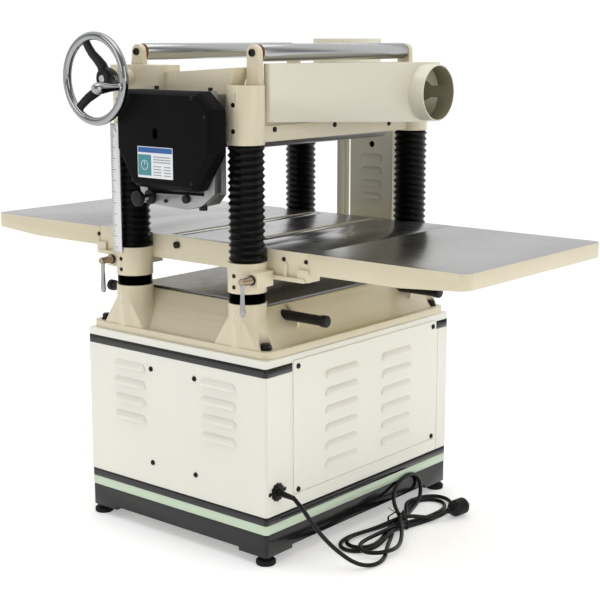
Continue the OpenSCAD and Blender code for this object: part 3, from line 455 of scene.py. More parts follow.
def relax(path, d, rounds):
    """Lets the cord settle: it keeps its length, resists bending, lies on the floor and on itself."""
    p, home, r = path.copy(), path.copy(), d / 2
    n, step = len(p), np.linalg.norm(np.diff(path, axis=0), axis=1).mean()
    held = np.zeros(n, bool)
    held[:4], held[-3:] = True, True
    hang = (path[:, 2] > 30) & (np.arange(n) < FREE_FALL_POINTS)
    far = np.abs(np.arange(n)[:, None] - np.arange(n)[None]) * step > 2.6 * d
    for k in range(rounds):
        last = k > rounds - CALM_ROUNDS
        old = p.copy()
        stiff = 0.05 if last else 0.09
        p[2:-2] -= stiff * (p[:-4] - 4 * p[1:-3] + 6 * p[2:-2] - 4 * p[3:-1] + p[4:])
        p[6:-6] -= 0.33 * stiff * (p[:-12] - 4 * p[3:-9] + 6 * p[6:-6] - 4 * p[9:-3] + p[12:])
        if not last:
            p[:, :2] += 0.02 * (home - p)[:, :2]
            p[:, 2] += 0.01 * (home - p)[:, 2]
            p[~hang & (home[:, 2] < 34), 2] -= 0.08
        for _ in range(2):
            for s in (0, 1):
                a, b = p[s:n - 1:2], p[s + 1:n:2]
                m = min(len(a), len(b))
                v = b[:m] - a[:m]
                length = np.linalg.norm(v, axis=1, keepdims=True)
                c = v * (length - step) / np.maximum(length, 1e-6) * 0.5
                a[:m] += c
                b[:m] -= c
        for _ in range(2):
            v = p[:, None] - p[None]
            dist = np.sqrt((v ** 2).sum(2))
            close = (dist < d * 1.04) & far
            i, j = np.nonzero(close)
            if len(i):
                short = (d * 1.04 - dist[i, j])[:, None]
                push = v[i, j] / np.maximum(dist[i, j], 1e-6)[:, None] * short * 0.25
                np.add.at(p, i, push)
                np.add.at(p, j, -push)
            p[:, 2] = np.maximum(p[:, 2], r + 0.2)
            inside = (p[:, 2] < 110) & (p[:, 0] < 342)
            p[inside, 1] = np.maximum(p[inside, 1], PLINTH_FACE + r + 0.2)
        p[held | hang] = old[held | hang]
    return p


line = spline(ROUTE + HANK, 7.0)
line = relax(line, CORD_D * 1000, SETTLE_ROUNDS)
line = spline(line, 5.0)


def tube_curve(name, points_mm, radius, body, mat):
    """A round cord along the points; radius in mm."""
    cu = bpy.data.curves.new(name, "CURVE")
    cu.dimensions = "3D"
    cu.bevel_depth, cu.bevel_resolution = radius / 1000, 5
    cu.use_fill_caps = True
    s = cu.splines.new("POLY")
    s.points.add(len(points_mm) - 1)
    for q, p in zip(s.points, points_mm):
        q.co = (p[0] / 1000, p[1] / 1000, p[2] / 1000, 1)
    s.use_smooth = True
    ob = bpy.data.objects.new(name, cu)
    scene.collection.objects.link(ob)
    cu.materials.append(mat)
    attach(ob, body)
    return ob


cord = tube_curve("cord_run", line, CORD_D * 500, "frame", M["cord"])
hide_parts("power_cord", "cord_hank")

# wire tie: two turns round the bundle and a twisted tail
at_waist = np.array([p for p in line if abs(p[0] - WAIST[0]) < 5 and 300 < p[1] < 400])
lo_y, hi_y = at_waist[:, 1].min() - 6.4, at_waist[:, 1].max() + 6.4
top_z = at_waist[:, 2].max() + 6.4
mid_y = (lo_y + hi_y) / 2
loop = rounded([(lo_y, 1.6), (hi_y, 1.6), (hi_y, top_z * 0.55), (mid_y + 9, top_z),
                (mid_y - 9, top_z), (lo_y, top_z * 0.55)], 6, 4)
tail = [(WAIST[0] + 1.3 * math.sin(a), mid_y - 9 - a * 1.1 + 1.3 * math.cos(a), top_z + 0.4 + a * 0.35)
        for a in np.linspace(0, 16, 60)]


def tube_data(points, r, sides, close=False):
    """A tube of radius r through the points (mm), closed on itself or capped."""
    p = np.array(points, float)
    n = len(p)
    verts, faces, u = [], [], None
    for i in range(n):
        t = p[(i + 1) % n if close else min(i + 1, n - 1)] - p[(i - 1) % n if close else max(i - 1, 0)]
        t /= np.linalg.norm(t)
        u = np.cross(t, (0.3, 0.2, 0.93)) if u is None else u - t * (u @ t)
        u /= np.linalg.norm(u)
        v = np.cross(t, u)
        for k in range(sides):
            a = 2 * math.pi * k / sides
            verts.append(tuple((p[i] + r * (math.cos(a) * u + math.sin(a) * v)) / 1000))
    for i in range(n if close else n - 1):
        for k in range(sides):
            a, b = i * sides + k, i * sides + (k + 1) % sides
            c, e = (i + 1) % n * sides + (k + 1) % sides, (i + 1) % n * sides + k
            faces.append((a, b, c, e))
    if not close:
        faces += [tuple(range(sides)), tuple((n - 1) * sides + k for k in range(sides))]
    return verts, faces


tie_parts = [tube_data([(WAIST[0] + dx, y, z) for y, z in loop], 1.4, 8, close=True) for dx in (-1.6, 1.6)]
tie_parts.append(tube_data(tail, 0.9, 8))
tie = merged("cord_tie_wire", tie_parts, "frame", M["satin_black"])
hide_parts("cord_tie")

# plug: ribbed body that swells toward its face, with two flat pins
PLUG_AT, PLUG_TURN = Vector((-150, 411, 21)), math.radians(174)
plug_axis = Matrix.Rotation(PLUG_TURN, 3, "Z") @ AXES["X"]
profile = [(0.01, 0.5), (5.2, 0.5), (6.4, 1.5), (6.6, 5), (6.0, 5.6), (6.0, 7), (7.4, 7.6), (7.6, 10.5),
           (6.9, 11.2), (6.9, 12.6), (8.8, 13.4), (11, 15.5), (15, 18.5), (17.2, 22), (18.2, 25)]
for k in range(6):
    z = 26 + k * 4.6
    profile += [(19.4, z), (19.7, z + 1.4), (19.4, z + 2.8), (18.5, z + 3.5), (18.5, z + 4.2)]
profile += [(19.6, 54.4), (19.6, 58.5), (18.2, 60.6), (16.5, 61.4), (0.01, 61.4)]
plug_body = lathe_data(profile, PLUG_AT, plug_axis, 48)
pins = []
for y in (-6, 6):
    blade = rounded([(60.5, -3), (77.5, -3), (77.5, 3), (60.5, 3)], [0, 1.2, 1.2, 0], 3)
    v, f = prism_data(blade, y - 0.75, y + 0.75, "Y")
    pins.append(([Matrix.Rotation(PLUG_TURN, 3, "Z") @ q + PLUG_AT / 1000 for q in v], f))
plug = merged("plug_body", [plug_body], "frame", M["satin_black"], sharp=50)
plug_pins = merged("plug_pins", pins, "frame", M["bright_steel"])
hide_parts("cord_plug")
sleeve_axis = Matrix.Rotation(math.radians(-5), 3, "X") @ AXES["Y"]
sleeve = [(0.01, 0), (8, 0), (8, 4), (7.2, 6)]
for k in range(6):
    z = 8 + k * 5.6
    rib = 7.1 - k * 0.3
    sleeve += [(rib, z), (rib, z + 3.2), (rib - 0.9, z + 3.8), (rib - 0.9, z + 5.0)]
sleeve += [(5.3, 43), (5.2, 45.6), (0.01, 45.6)]
relief = lathe("cord_sleeve", sleeve, (306, 278, 162), "frame", M["satin_black"], sleeve_axis, 32, sharp=50)
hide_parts("strain_relief")


def cut(ob, verts, faces):
    """Takes a solid out of a piece for good."""
    me = bpy.data.meshes.new("cutter")
    me.from_pydata([tuple(v) for v in verts], [], [tuple(f) for f in faces])
    bm = bmesh.new()
    bm.from_mesh(me)
    bmesh.ops.recalc_face_normals(bm, faces=bm.faces)
    bm.to_mesh(me)
    bm.free()
    tool = bpy.data.objects.new("cutter", me)
    scene.collection.objects.link(tool)
    b = ob.modifiers.new("cut", "BOOLEAN")
    b.operation, b.solver, b.object = "DIFFERENCE", "EXACT", tool
    made = bpy.data.meshes.new_from_object(ob.evaluated_get(bpy.context.evaluated_depsgraph_get()))
    ob.modifiers.clear()
    ob.data = made
    made.shade_smooth()
    made.set_sharp_from_angle(angle=math.radians(38))
    bpy.data.objects.remove(tool)


def loft_data(rings):
    """Closed rings of the same number of points (mm), joined in order and capped."""
    n = len(rings[0])
    verts = [tuple(Vector(p) / 1000) for r in rings for p in r]
    faces = [(k * n + i, k * n + (i + 1) % n, (k + 1) * n + (i + 1) % n, (k + 1) * n + i)
             for k in range(len(rings) - 1) for i in range(n)]
    return verts, faces + [tuple(range(n)), tuple((len(rings) - 1) * n + i for i in range(n))]


def inset(points, d):
    """The outline moved inward by d (corners kept)."""
    p = [np.array(q, float) for q in points]
    n = len(p)
    area = sum(p[i][0] * p[(i + 1) % n][1] - p[(i + 1) % n][0] * p[i][1] for i in range(n))
    s, out = (1 if area > 0 else -1), []
    for i in range(n):
        a, b, c = p[i - 1], p[i], p[(i + 1) % n]
        u, v = (b - a) / np.linalg.norm(b - a), (c - b) / np.linalg.norm(c - b)
        nu, nv = np.array((-u[1], u[0])) * s, np.array((-v[1], v[0])) * s
        m = nu + nv
        out.append(tuple(b + m * d / (m @ nu)))
    return out


def hex_head(at, axis, af, h, turn=0.0):
    """Chamfered hexagon head, h high, standing on at."""
    r = af * 0.577
    m, o = AXES[axis], Vector(at) / 1000
    rings = []
    for t, k in ((0, 1), (h * 0.8, 1), (h, 0.86)):
        corners = [math.pi * i / 3 + turn for i in range(6)]
        rings.append([m @ Vector((r * k * math.cos(a), r * k * math.sin(a), t)) + o * 1000 for a in corners])
    return loft_data(rings)


# ---------- stand ----------
def louvre_data(at, along, out, length, high=18.0, deep=7.0, ends=13.0):
    """Pressed louvre: a bulge with rounded ends that opens downward, and a dark quad behind its lip, painted
    shade standing in for the opening.
    """
    a, o, at = Vector(along), Vector(out), Vector(at)
    us, vs = [], 9
    half = length / 2
    for k in range(9):
        us.append(-half + ends * (1 - math.cos(math.pi / 2 * k / 8)))
    us += [-half + ends + (length - 2 * ends) * k / 6 for k in range(1, 6)]
    us += [-u for u in reversed(us[:9])]
    outer, inner = [], []
    for u in us:
        e = max(0.0, abs(u) - (half - ends)) / ends
        s = math.sqrt(max(0.0, 1 - e * e))
        for j in range(vs + 1):
            g = j / vs
            z = high * (1 - g) * (0.35 + 0.65 * s) if g < 1 else 0.0
            d = deep * s * math.sin(math.pi / 2 * min(1, g * 1.25)) ** 0.85
            outer.append(tuple((at + a * u + o * (d + 0.02) + Vector((0, 0, z))) / 1000))
            under, below = max(0, d - 1.4) + 0.01, max(0, z - 0.8 if g < 1 else 0)
            inner.append(tuple((at + a * u + o * under + Vector((0, 0, below))) / 1000))
    n, m = len(outer), vs + 1
    faces = []
    for i in range(len(us) - 1):
        for j in range(vs):
            q = (i * m + j, i * m + j + 1, (i + 1) * m + j + 1, (i + 1) * m + j)
            faces += [q, tuple(n + t for t in reversed(q))]
        faces.append((i * m + vs, n + i * m + vs, n + (i + 1) * m + vs, (i + 1) * m + vs))
    # dark quad under the lip: painted shade in place of the open slot into the cabinet
    slot = []
    for u, z in ((-half + 9, 0.6), (half - 9, 0.6), (half - 12, high * 0.55), (-half + 12, high * 0.55)):
        slot.append(tuple((at + a * u + o * 0.35 + Vector((0, 0, z))) / 1000))
    return (outer + inner, faces), (slot, [(0, 1, 2, 3)])


def box_pts(x0, x1, y0, y1):
    return [(x0, y0), (x1, y0), (x1, y1), (x0, y1)]


def rrect_pts(w, d, r, cx=0.0, cy=0.0):
    return rounded(box_pts(cx - w / 2, cx + w / 2, cy - d / 2, cy + d / 2), r, 6)


def shell_data(rings):
    """Closed skin through rings that run out, round the lip and back inside."""
    n, k = len(rings[0]), len(rings)
    verts = [tuple(Vector(p) / 1000) for r in rings for p in r]
    return verts, [(j * n + i, j * n + (i + 1) % n, (j + 1) % k * n + (i + 1) % n, (j + 1) % k * n + i)
                   for j in range(k) for i in range(n)]


def level(pts, z):
    return [(x, y, z) for x, y in pts]


# cabinet skin: outside wall, rolled top edge, top flange, and back down inside
STAND_W, STAND_D, SKIN_LOW, SKIN_TOP = 681, 552, 71.7, 454
section = [(0, 8, SKIN_LOW), (0, 8, SKIN_TOP - 3.5), (0.8, 7.6, SKIN_TOP - 1.2), (3.5, 6.5, SKIN_TOP)]
cab = [level(rrect_pts(STAND_W - k, STAND_D - k, r), z) for k, r, z in section]
cab += [level(rrect_pts(500, 380, 20), z) for z in (SKIN_TOP, SKIN_TOP - 2.5)]
cab += [level(rrect_pts(STAND_W - 5, STAND_D - 5, 6), z) for z in (SKIN_TOP - 2.5, SKIN_LOW)]
parts, louvre_shade_slots = [shell_data(cab)], []
for sx, sy in ((1, -1), (1, 1), (-1, -1)):
    for i in range(4):
        lv, sl = louvre_data((sx * STAND_W / 2, sy * 139, 253 + i * 40.3), (0, 1, 0), (sx, 0, 0), 104)
        parts.append(lv)
        louvre_shade_slots.append(sl)
cabinet = merged("cabinet_skin", parts, "frame", M["stand_white"], sharp=32)
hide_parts("stand_cabinet")
# corner posts lap the faces beside the panels
def on_face(outline, y, sy, steps):
    """The outline (X, Z) raised off the stand's face in steps of (height, inset)."""
    return loft_data([[(a, y + sy * d, c) for a, c in inset(outline, k)] for d, k in steps])


posts = []
for sy in (-1, 1):
    for x0, x1 in ((262, 337), (-337, -297)):
        strip = rounded(box_pts(x0, x1, 111.2, 417.5), 1.5, 3)
        posts.append(on_face(strip, sy * STAND_D / 2, sy, ((-0.5, 0), (0.7, 0), (1.1, 0.5))))
merged("corner_posts", posts, "frame", M["stand_white"])
parts = []
for sy in (-1, 1):
    y = sy * STAND_D / 2
    sheet = rounded(box_pts(-287, 253, 138, 441), 3, 4)
    parts.append(on_face(sheet, y, sy, ((0.05, 0.2), (1.9, 0), (2.5, 0.8))))
    lip = rounded(box_pts(-287, 253, 138, 143.5), 1.5, 3)
    parts.append(on_face(lip, y, sy, ((2.3, 0), (4.6, 0.1), (5.4, 0.9))))
    for cx in (85, -123):
        for i in range(6):
            lv, sl = louvre_data((cx, y + sy * 2.5, 177 + i * 41), (1, 0, 0), (0, sy, 0), 119)
            parts.append(lv)
            louvre_shade_slots.append(sl)
panels = merged("service_panels", parts, "frame", M["stand_white"], sharp=32)
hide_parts("stand_panels")
dress("stand_plinth", "gloss_black", 0.9, 2, 40)
dress("trim_bands", "gloss_black", 0.3, 1, 50)
dress("trim_stripe", "mint", 0.3, 1, 50)
dress("stand_feet", "foot_rubber", 0.6, 2, 40)

TX, TY, COL_DX, COL_DY = -6, 8, 297, 173.4
COLUMNS = [(TX + sx * COL_DX, TY + sy * COL_DY, sx, sy) for sx in (-1, 1) for sy in (-1, 1)]


def pan_data(at, axis, sign, r):
    """Pan head screw with a recess, standing on at and pointing along sign times the axis."""
    prof = [(0.01, r * 0.30), (r * 0.30, r * 0.34), (r * 0.34, r * 0.60), (r * 0.62, r * 0.56),
            (r * 0.88, r * 0.40), (r * 0.99, r * 0.18), (r, 0), (0.01, 0)]
    m = AXES[axis] @ Matrix.Diagonal((1, 1, sign)) if sign < 0 else AXES[axis]
    return lathe_data(prof, at, m, 28)


screws = []
for sy in (1, -1):
    for sx in (-1, 1):
        for z in (151, 427):
            screws.append(pan_data((-17 + sx * 255, sy * (STAND_D / 2 + 2.5), z), "Y", sy, 6))
for sx, y in ((1, -68), (1, 68), (-1, 68)):
    for z in (164, 384):
        screws.append(pan_data((sx * STAND_W / 2, y, z), "X", sx, 6))
bolts = []
for sx in (-1, 1):
    for sy in (-1, 1):
        at = (sx * 307, sy * 247, 470)
        bolts.append(lathe_data([(0.01, 0), (12.8, 0), (12.9, 1.2), (12.2, 2.8), (0.01, 3)], at, "Z", 40))
        bolts.append(hex_head((at[0], at[1], 473), "Z", 18, 10.8, 0.4 * sx))
        bolts.append(lathe_data([(0.01, -24), (5.3, -24), (5.3, 0), (0.01, 0)], at, "Z", 24))
fasteners = merged("stand_screws_and_bolts", screws + bolts, "frame", M["satin_black"])
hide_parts("stand_fasteners")

# ---------- motor, belts and guard ----------
dress("motor", ["motor_grey"], 1.0)
dress("motor_mount", "satin_black", 0.8)
dress("motor_pulley", ["iron", "bright_steel"], 0.4)
paint_faces("motor_pulley", 1, lambda c, n: c.x > -380 or c.x < -443)
dress("drive_belts", "belt", 0.5)
GUARD_FACE = -345
gp = rounded(box_pts(-35, 98, 150, 1000), 3, 4)
steps = ((3, 0.2), (0.6, 0), (0, 0.7))
guard_parts = [loft_data([[(GUARD_FACE - d, a, c) for a, c in inset(gp, k)] for d, k in steps])]
for i in range(4):
    lv, sl = louvre_data((GUARD_FACE, 33, 712 + i * 33), (0, 1, 0), (1, 0, 0), 64, 18, 6.5, 10)
    guard_parts.append(lv)
    louvre_shade_slots.append(sl)
# pads that stand the guard off the stand and, longer, off the head
for z0, z1, long, x in ((160, 180, 4.4, -342.8), (439.5, 451.5, 4.4, -342.8), (975, 995, 33, -328.5)):
    guard_parts.append(loft_data([level(rrect_pts(long, 60, 1, x, 30), z) for z in (z0, z1)]))
inner = merged("guard_inner_plate", guard_parts, "frame", M["sheet_cream"], sharp=32)
turns = np.linspace(0, 2 * math.pi, 28, endpoint=False)
hole = [(33 + 8 * math.cos(a), 852 + 8 * math.sin(a)) for a in turns]
cut(inner, *prism_data(hole, GUARD_FACE - 7, GUARD_FACE + 5))
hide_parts("belt_guard_inner")
# dark quads behind all louvres: painted shade standing in for the openings
merged("louvre_shade_slots", louvre_shade_slots, "frame", M["slot_painted_shade"])
dress("belt_guard_outer", "sheet_cream", 1.2, 2, 40)
dress("switch_box", ["sheet_cream", "satin_black"], 0.8, 2, 40)
paint_faces("switch_box", 1, lambda c, n: c.y < -157.9 and 1020 < c.z < 1080
            and min(abs(c.x + 400), abs(c.x + 450)) < 26)
dress("start_button", "green", 1.0)
dress("stop_button", "red", 1.5)

# ---------- base ----------
dress("base_casting", ["cast_cream"], 3.0, 3, 40)
dress("base_plate", "dark_plate", 0.6, 2, 40)
dress("columns", ["bright_steel", "bronze"])
for k in "abcd":
    dress("leadscrew_" + k, "bright_steel")
paint_faces("columns", 1, lambda c, n: min(math.hypot(c.x - x, c.y - y) for x, y, _, _ in COLUMNS) < 16.9)
dress("lift_chain", "grey_metal")
for k in range(1, 5):
    dress("lifting_bar_%d" % k, "satin_black", 0.6, 2, 40)


def bellows(name, x, y, z0, z1, pleats):
    """Pleated rubber sleeve: pointed pleats a little uneven in height, flatter at each end."""
    prof, steps = [], 10
    p = (z1 - z0) / pleats
    for i in range(pleats * steps + 1):
        u = i / steps
        k = int(u) if u < pleats else pleats - 1
        a = u - k
        tri = 1 - abs(2 * a - 1)
        wave = 0.82 * tri + 0.18 * math.sin(math.pi * a)
        top = 39.9 - 0.35 * (0.5 + 0.5 * math.sin(k * 2.4 + x * 0.05))
        edge = min(1, min(u, pleats - u) / 0.25)
        r = 34.5 + (top - 34.5) * wave * (0.4 + 0.6 * edge)
        prof.append((r, z0 + u * p + 0.10 * p * math.sin(2 * math.pi * a) * 0.5))
    prof += [(32.2, z1), (32.2, z0)]
    return lathe(name, prof, (x, y, 0), None, M["rubber"], "Z", 56, ring=True, sharp=60)


UPPER, LOWER = (650, 897), (563, 586)   # ends of the bellows above and below the table's collars
up, down = [], []
for k, (x, y, _, _) in enumerate(COLUMNS):
    up.append(bellows("bellows_upper_%d" % (k + 1), x, y, *UPPER, 17))
    down.append(bellows("bellows_lower_%d" % (k + 1), x, y, *LOWER, 8))
for ob, (x, y, _, _) in zip(up, COLUMNS):
    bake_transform(ob)
for ob, (x, y, _, _) in zip(down, COLUMNS):
    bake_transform(ob)
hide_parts("upper_bellows")
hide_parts("lower_bellows")

# ---------- table ----------
def top(c, n):
    return n.z > 0.9 and c.z > 677.5


dress("table_casting", ["cast_cream", "table_steel"], 1.2, 2, 40)
paint_faces("table_casting", 1, top)
dress("table_wings", ["cast_cream", "table_steel"], 2.0, 3, 40)
paint_faces("table_wings", 1, top)
TABLE_SIDE = 270.5
# for each corner: a boss under the wing joint, the ledge that leads to it from the collar, and a short rib
BOSSES = ((-34, 6, 294, 323, 617, 643), (-12, 9.5, 228, 316, 616, 624.5), (-2, 5, 256, 265, 622, 653))


def boss(mx, my, x0, x1, y0, y1, z0, z1):
    ys = sorted((TY + my * y0, TY + my * y1))
    xs = sorted((TX + mx * (TABLE_SIDE + x0), TX + mx * (TABLE_SIDE + x1)))
    return prism_data(rounded(box_pts(*ys, z0, z1), 2.0, 3), *xs)


bosses = [boss(mx, my, *b) for mx in (-1, 1) for my in (-1, 1) for b in BOSSES]
merged("table_bosses", bosses, "table", M["cast_cream"])
dress("table_nuts", "bronze")
dress("table_screws", "satin_black", 0.5)
dress("bed_roller_infeed", "bright_steel", 0.6)
dress("bed_roller_outfeed", "bright_steel", 0.6)
for s, end in ((-1, "infeed"), (1, "outfeed")):
    o = (TX + COL_DX, TY + s * (COL_DY + 41), 618)
    hub = [(0.01, -19), (6, -19), (6, 31.6), (9.6, 31.6), (9.6, 35.5), (9.2, 37), (8.9, 40), (8.0, 52),
           (7.0, 59), (6.9, 66.5), (6.0, 67.8), (0.01, 68)]
    lever = [(0.01, -8), (3.4, -7.4), (5.0, -5.4), (5.5, -2), (5.4, 3), (4.6, 9), (4.3, 20), (4.6, 36),
             (5.4, 52), (6.0, 61), (6.1, 66), (5.4, 70.5), (3.6, 73.2), (0.01, 74)]
    collar = rounded([(6.1, 31.5), (11, 31.5), (11, 35), (9.7, 36.2), (6.1, 36.2)], 0.8, 3)
    lathe("lock_ring_" + end, collar, o, "lock_lever_" + end, M["satin_black"], segs=40, ring=True)
    body = lathe("lock_hub_" + end, hub, o, "lock_lever_" + end, M["copper_hub"], segs=40)
    hanging = Matrix(((0, 1, 0), (1, 0, 0), (0, 0, -1)))
    lathe("lock_arm_" + end, lever, (o[0] + 60.6, o[1], o[2]), "lock_lever_" + end, M["chrome"], hanging, 32)
    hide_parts("lock_lever_" + end)
dress("scale_strip", ["scale_metal"], 0.3)

# ---------- head ----------
dress("head_casting", ["cast_cream", "satin_black", "bright_steel"], 2.2, 3, 40)
paint_faces("head_casting", 1, lambda c, n: any(
    math.hypot(c.y - y, c.z - z) < 5.2 and abs(c.x - (x + sx * 40)) < 1.8
    for x, y, sx, sy in COLUMNS for z in (926, 980)))
paint_faces("head_casting", 1, lambda c, n: c.y > 194.02 and any(math.hypot(c.x - x, c.z - z) < 6.3
            for x, z in ((215, 925), (10, 925), (-195, 918))))
dress("cutterhead", ["bright_steel", "iron"], 0.4)
dress("feed_roller_infeed", "grey_metal", 0.4)
dress("feed_roller_outfeed", "grey_metal", 0.4)
dress("chip_breaker", "iron", 0.5)
dress("kickback_fingers", "grey_metal")
dress("gearbox_housing", ["grey_metal", "satin_black"], 1.6, 2, 40)
paint_faces("gearbox_housing", 1, lambda c, n: c.x > 355.05 or (c.z < 767 and abs(c.y - 107) < 10)
            or c.z > 1008.05)

# gearbox cover: bevelled octagon with an oval sight hole, screws and a plain instruction plate
front = [(-76, 1008), (142, 1008), (184, 972), (184, 882), (128, 801), (-52, 801), (-104, 880), (-104, 982)]
outline = rounded(front, 7, 4)
rings = [[(x, y, z) for y, z in rounded(inset(front, d), max(7 - d * 0.35, 3), 4)]
         for x, d in ((355.2, 0.2), (383.5, 0.2), (385.5, 0.8), (396.0, 8.6), (397.6, 10.6), (397.9, 13.5))]
cover = put("gear_cover", *loft_data(rings), "frame", M["crinkle_black"], sharp=22)
turns = np.linspace(0, 2 * math.pi, 36, endpoint=False)
oval = [(20 + 7 * math.sin(a), 918 + math.copysign(5, math.cos(a)) + 7 * math.cos(a)) for a in turns]
cut(cover, *prism_data(oval, 384, 402))
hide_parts("gearbox_cover")
rim = loft_data([[(x, 20 + (y - 20) * k, 918 + (z - 918) * k) for y, z in oval] for x, k in
                 ((384.3, 0.98), (384.6, 0.98))])
merged("cover_sight", [rim], "frame", M["satin_black"])
cs = []
for y, z in ((-84, 968), (164, 958), (-50, 818), (124, 820), (-60, 995), (128, 995)):
    cs.append(pan_data((396.6, y, z), "X", 1, 4.2))
merged("cover_screws", cs, "frame", M["satin_black"])


def patch(y0, y1, z0, z1, x0, x1, r=1.0):
    return prism_data(rounded(box_pts(y0, y1, z0, z1), r, 3), x0, x1)


merged("label_plate", [patch(-33, 72, 824, 890, 397.7, 398.6, 2)], "frame", M["plate_white"])
merged("label_band", [patch(-31.5, 70.5, 877.5, 888.5, 398.5, 398.8)], "frame", M["plate_blue"])
dial = [lathe_data([(9.2, 398.7), (9.2, 399), (10.4, 399), (10.4, 398.7)], (0, -12, 851), "X", 32, ring=True)]
dial += [patch(-12.6, -11.4, 851, 859, 398.7, 399, 0.2)]
merged("label_field", [patch(-31.5, 8, 829, 873, 398.5, 398.75)], "frame", M["plate_teal"])
merged("label_dial", dial, "frame", M["plate_white"])
bars = [patch(14, 66, z, z + 2.2, 398.5, 398.75, 0.5) for z in (868, 862.5, 857)]
bars += [patch(14, 38, z, z + 2.0, 398.5, 398.75, 0.5) for z in (848, 842, 836, 830)]
bars += [patch(46, 66, z, z + 2.0, 398.5, 398.75, 0.5) for z in (848, 842, 836, 830)]
merged("label_lines", bars, "frame", M["plate_grey"])

# shift knob: fluted disc on its shaft
rings = []
for x, r in ((386, 12), (386.4, 13), (390, 16.6), (395, 17.3), (399, 16.6), (400.6, 14.5), (401, 12.5)):
    ring = []
    for i in range(72):
        a = 2 * math.pi * i / 72
        k = r - (0.5 if r > 16 else 0.2) * (0.5 + 0.5 * math.cos(12 * a))
        ring.append((x, -39 + k * math.cos(a), 777 + k * math.sin(a)))
    rings.append(ring)
knob = merged("shift_disc", [loft_data(rings)], "shift_knob", M["satin_black"])
lathe("shift_shaft", [(0.01, 330), (7, 330), (7, 386.2), (0.01, 386.2)], (0, -39, 777), "shift_knob",
      M["bright_steel"], segs=32)
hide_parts("shift_knob")

# return rollers with brown end rings, and their rounded brackets
ROLLER_Z = 1085
for s, end in ((-1, "infeed"), (1, "outfeed")):
    y = TY + s * COL_DY
    prof = [(16.4, -255.5), (17.9, -255.5), (18.5, -254.6), (18.5, 254.6), (17.9, 255.5), (16.4, 255.5)]
    o = (TX, y, ROLLER_Z)
    tube = lathe("return_tube_" + end, prof, o, "return_roller_" + end, M["tube_steel"], segs=72, ring=True)
    rings = [lathe_data(rounded(box_pts(6.1, 17.4, a, a + 6.5), 0.8, 3), o, "X", 48, ring=True)
             for a in (-258, 251.5)]
    merged("return_rings_" + end, rings, "return_roller_" + end, M["ring_brown"])
    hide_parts("return_roller_" + end)
ears, axles, heads = [], [], []
for sx in (-1, 1):
    for sy in (-1, 1):
        y, z0 = TY + sy * COL_DY, (1057 if (sx, sy) == (1, -1) else 1019)
        low = [(-20, z0), (20, z0), (18.2, z0 + 10), (17.2, 1072)]
        arc = [(17 * math.cos(a), ROLLER_Z + 17 * math.sin(a)) for a in np.linspace(-0.1, math.pi + 0.1, 19)]
        pts = [(y + p, z) for p, z in low + arc + [(-17.2, 1072), (-18.2, z0 + 10)]]
        x = TX + sx * 268.5
        body = [(x + dx, k) for dx, k in ((-7.4, 1.2), (-6.2, 0), (6.2, 0), (7.4, 1.2))]
        ears.append(loft_data([[(xx, p, q) for p, q in inset(pts, k)] for xx, k in body]))
        heads.append(lathe_data([(0.01, 0), (8, 0), (8, 3.6), (7.3, 4.7), (4.2, 5), (3.6, 2.6), (0.01, 2.4)],
                                (TX + sx * 276, y, ROLLER_Z), AXES["X"] @ Matrix.Diagonal((1, 1, sx)), 36))
for s in (-1, 1):
    rod = [(0.01, -276), (6, -276), (6, 276), (0.01, 276)]
    axles.append(lathe_data(rod, (TX, TY + s * COL_DY, ROLLER_Z), "X", 32))
ear = merged("return_ears", ears, "frame", M["cast_cream"], sharp=30)
merged("return_axles", axles, "frame", M["bright_steel"])
merged("return_axle_heads", heads, "frame", M["satin_black"])
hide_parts("roller_brackets")

# ---------- handwheel ----------
WY, WZ, GRIP = -140, 1029, math.radians(90 - 10.6)
lathe("wheel_rim", rounded([(82, 408.2), (100, 408.2), (100, 425.8), (82, 425.8)], 7.5, 6), (0, WY, WZ),
      "handwheel", M["chrome"], segs=128, ring=True, sharp=60)
hub = [(8, 366), (17.5, 366), (19, 367.2), (19.6, 370), (23, 374), (24, 377), (24, 391), (22.8, 394),
       (19.5, 395.4), (18.5, 397.4), (17, 398), (8, 398)]
wheel_hub = lathe_data(hub, (0, WY, WZ), "X", 64, ring=True)
# each spoke's sections: radius, X, half width, half thickness and slope
SPOKE = ((17, 386, 13, 9.5, 0.1), (30, 388, 12, 8.5, 0.35), (42, 395.5, 11.2, 7.2, 0.75),
         (56, 406.5, 10.3, 6.2, 0.65), (70, 412.5, 9.8, 5.8, 0.35), (85, 416.5, 9.6, 5.6, 0.2))
spokes = []
for k in range(3):
    a = GRIP + k * 2 * math.pi / 3
    radial = Vector((0, math.sin(a), -math.cos(a)))
    side = Vector((0, math.cos(a), math.sin(a)))
    rings = []
    for r, x, w, t, slope in SPOKE:
        c = Vector((x, WY, WZ)) + radial * r
        across = (Vector((1, 0, 0)) - radial * slope).normalized()
        ring = []
        for i in range(20):
            b = 2 * math.pi * i / 20
            cb, sb = math.cos(b), math.sin(b)
            wide = math.copysign(abs(cb) ** 0.7, cb)
            thick = math.copysign(abs(sb) ** 0.7, sb)
            ring.append(c + side * w * wide + across * t * thick)
        rings.append([tuple(q) for q in ring])
    spokes.append(loft_data(rings))
arms = merged("wheel_spokes", [wheel_hub] + spokes, "handwheel", M["satin_black"], sharp=50)
bar = lathe_data([(0.01, 274), (8, 274), (8, 398.8), (7, 400), (0.01, 400)], (0, WY, WZ), "X", 32)
worm = lathe_data([(8, 276), (9.5, 277), (9.5, 297), (8, 298)], (0, WY, WZ), "X", 32, ring=True)
merged("wheel_shaft", [bar, worm], "handwheel", M["bright_steel"])
gy, gz = WY + 89 * math.sin(GRIP), WZ - 89 * math.cos(GRIP)
lathe("grip_pin", [(0.01, 418), (4, 418), (4, 494), (0.01, 494)], (0, gy, gz), "handwheel",
      M["bright_steel"], segs=24)
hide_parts("handwheel")
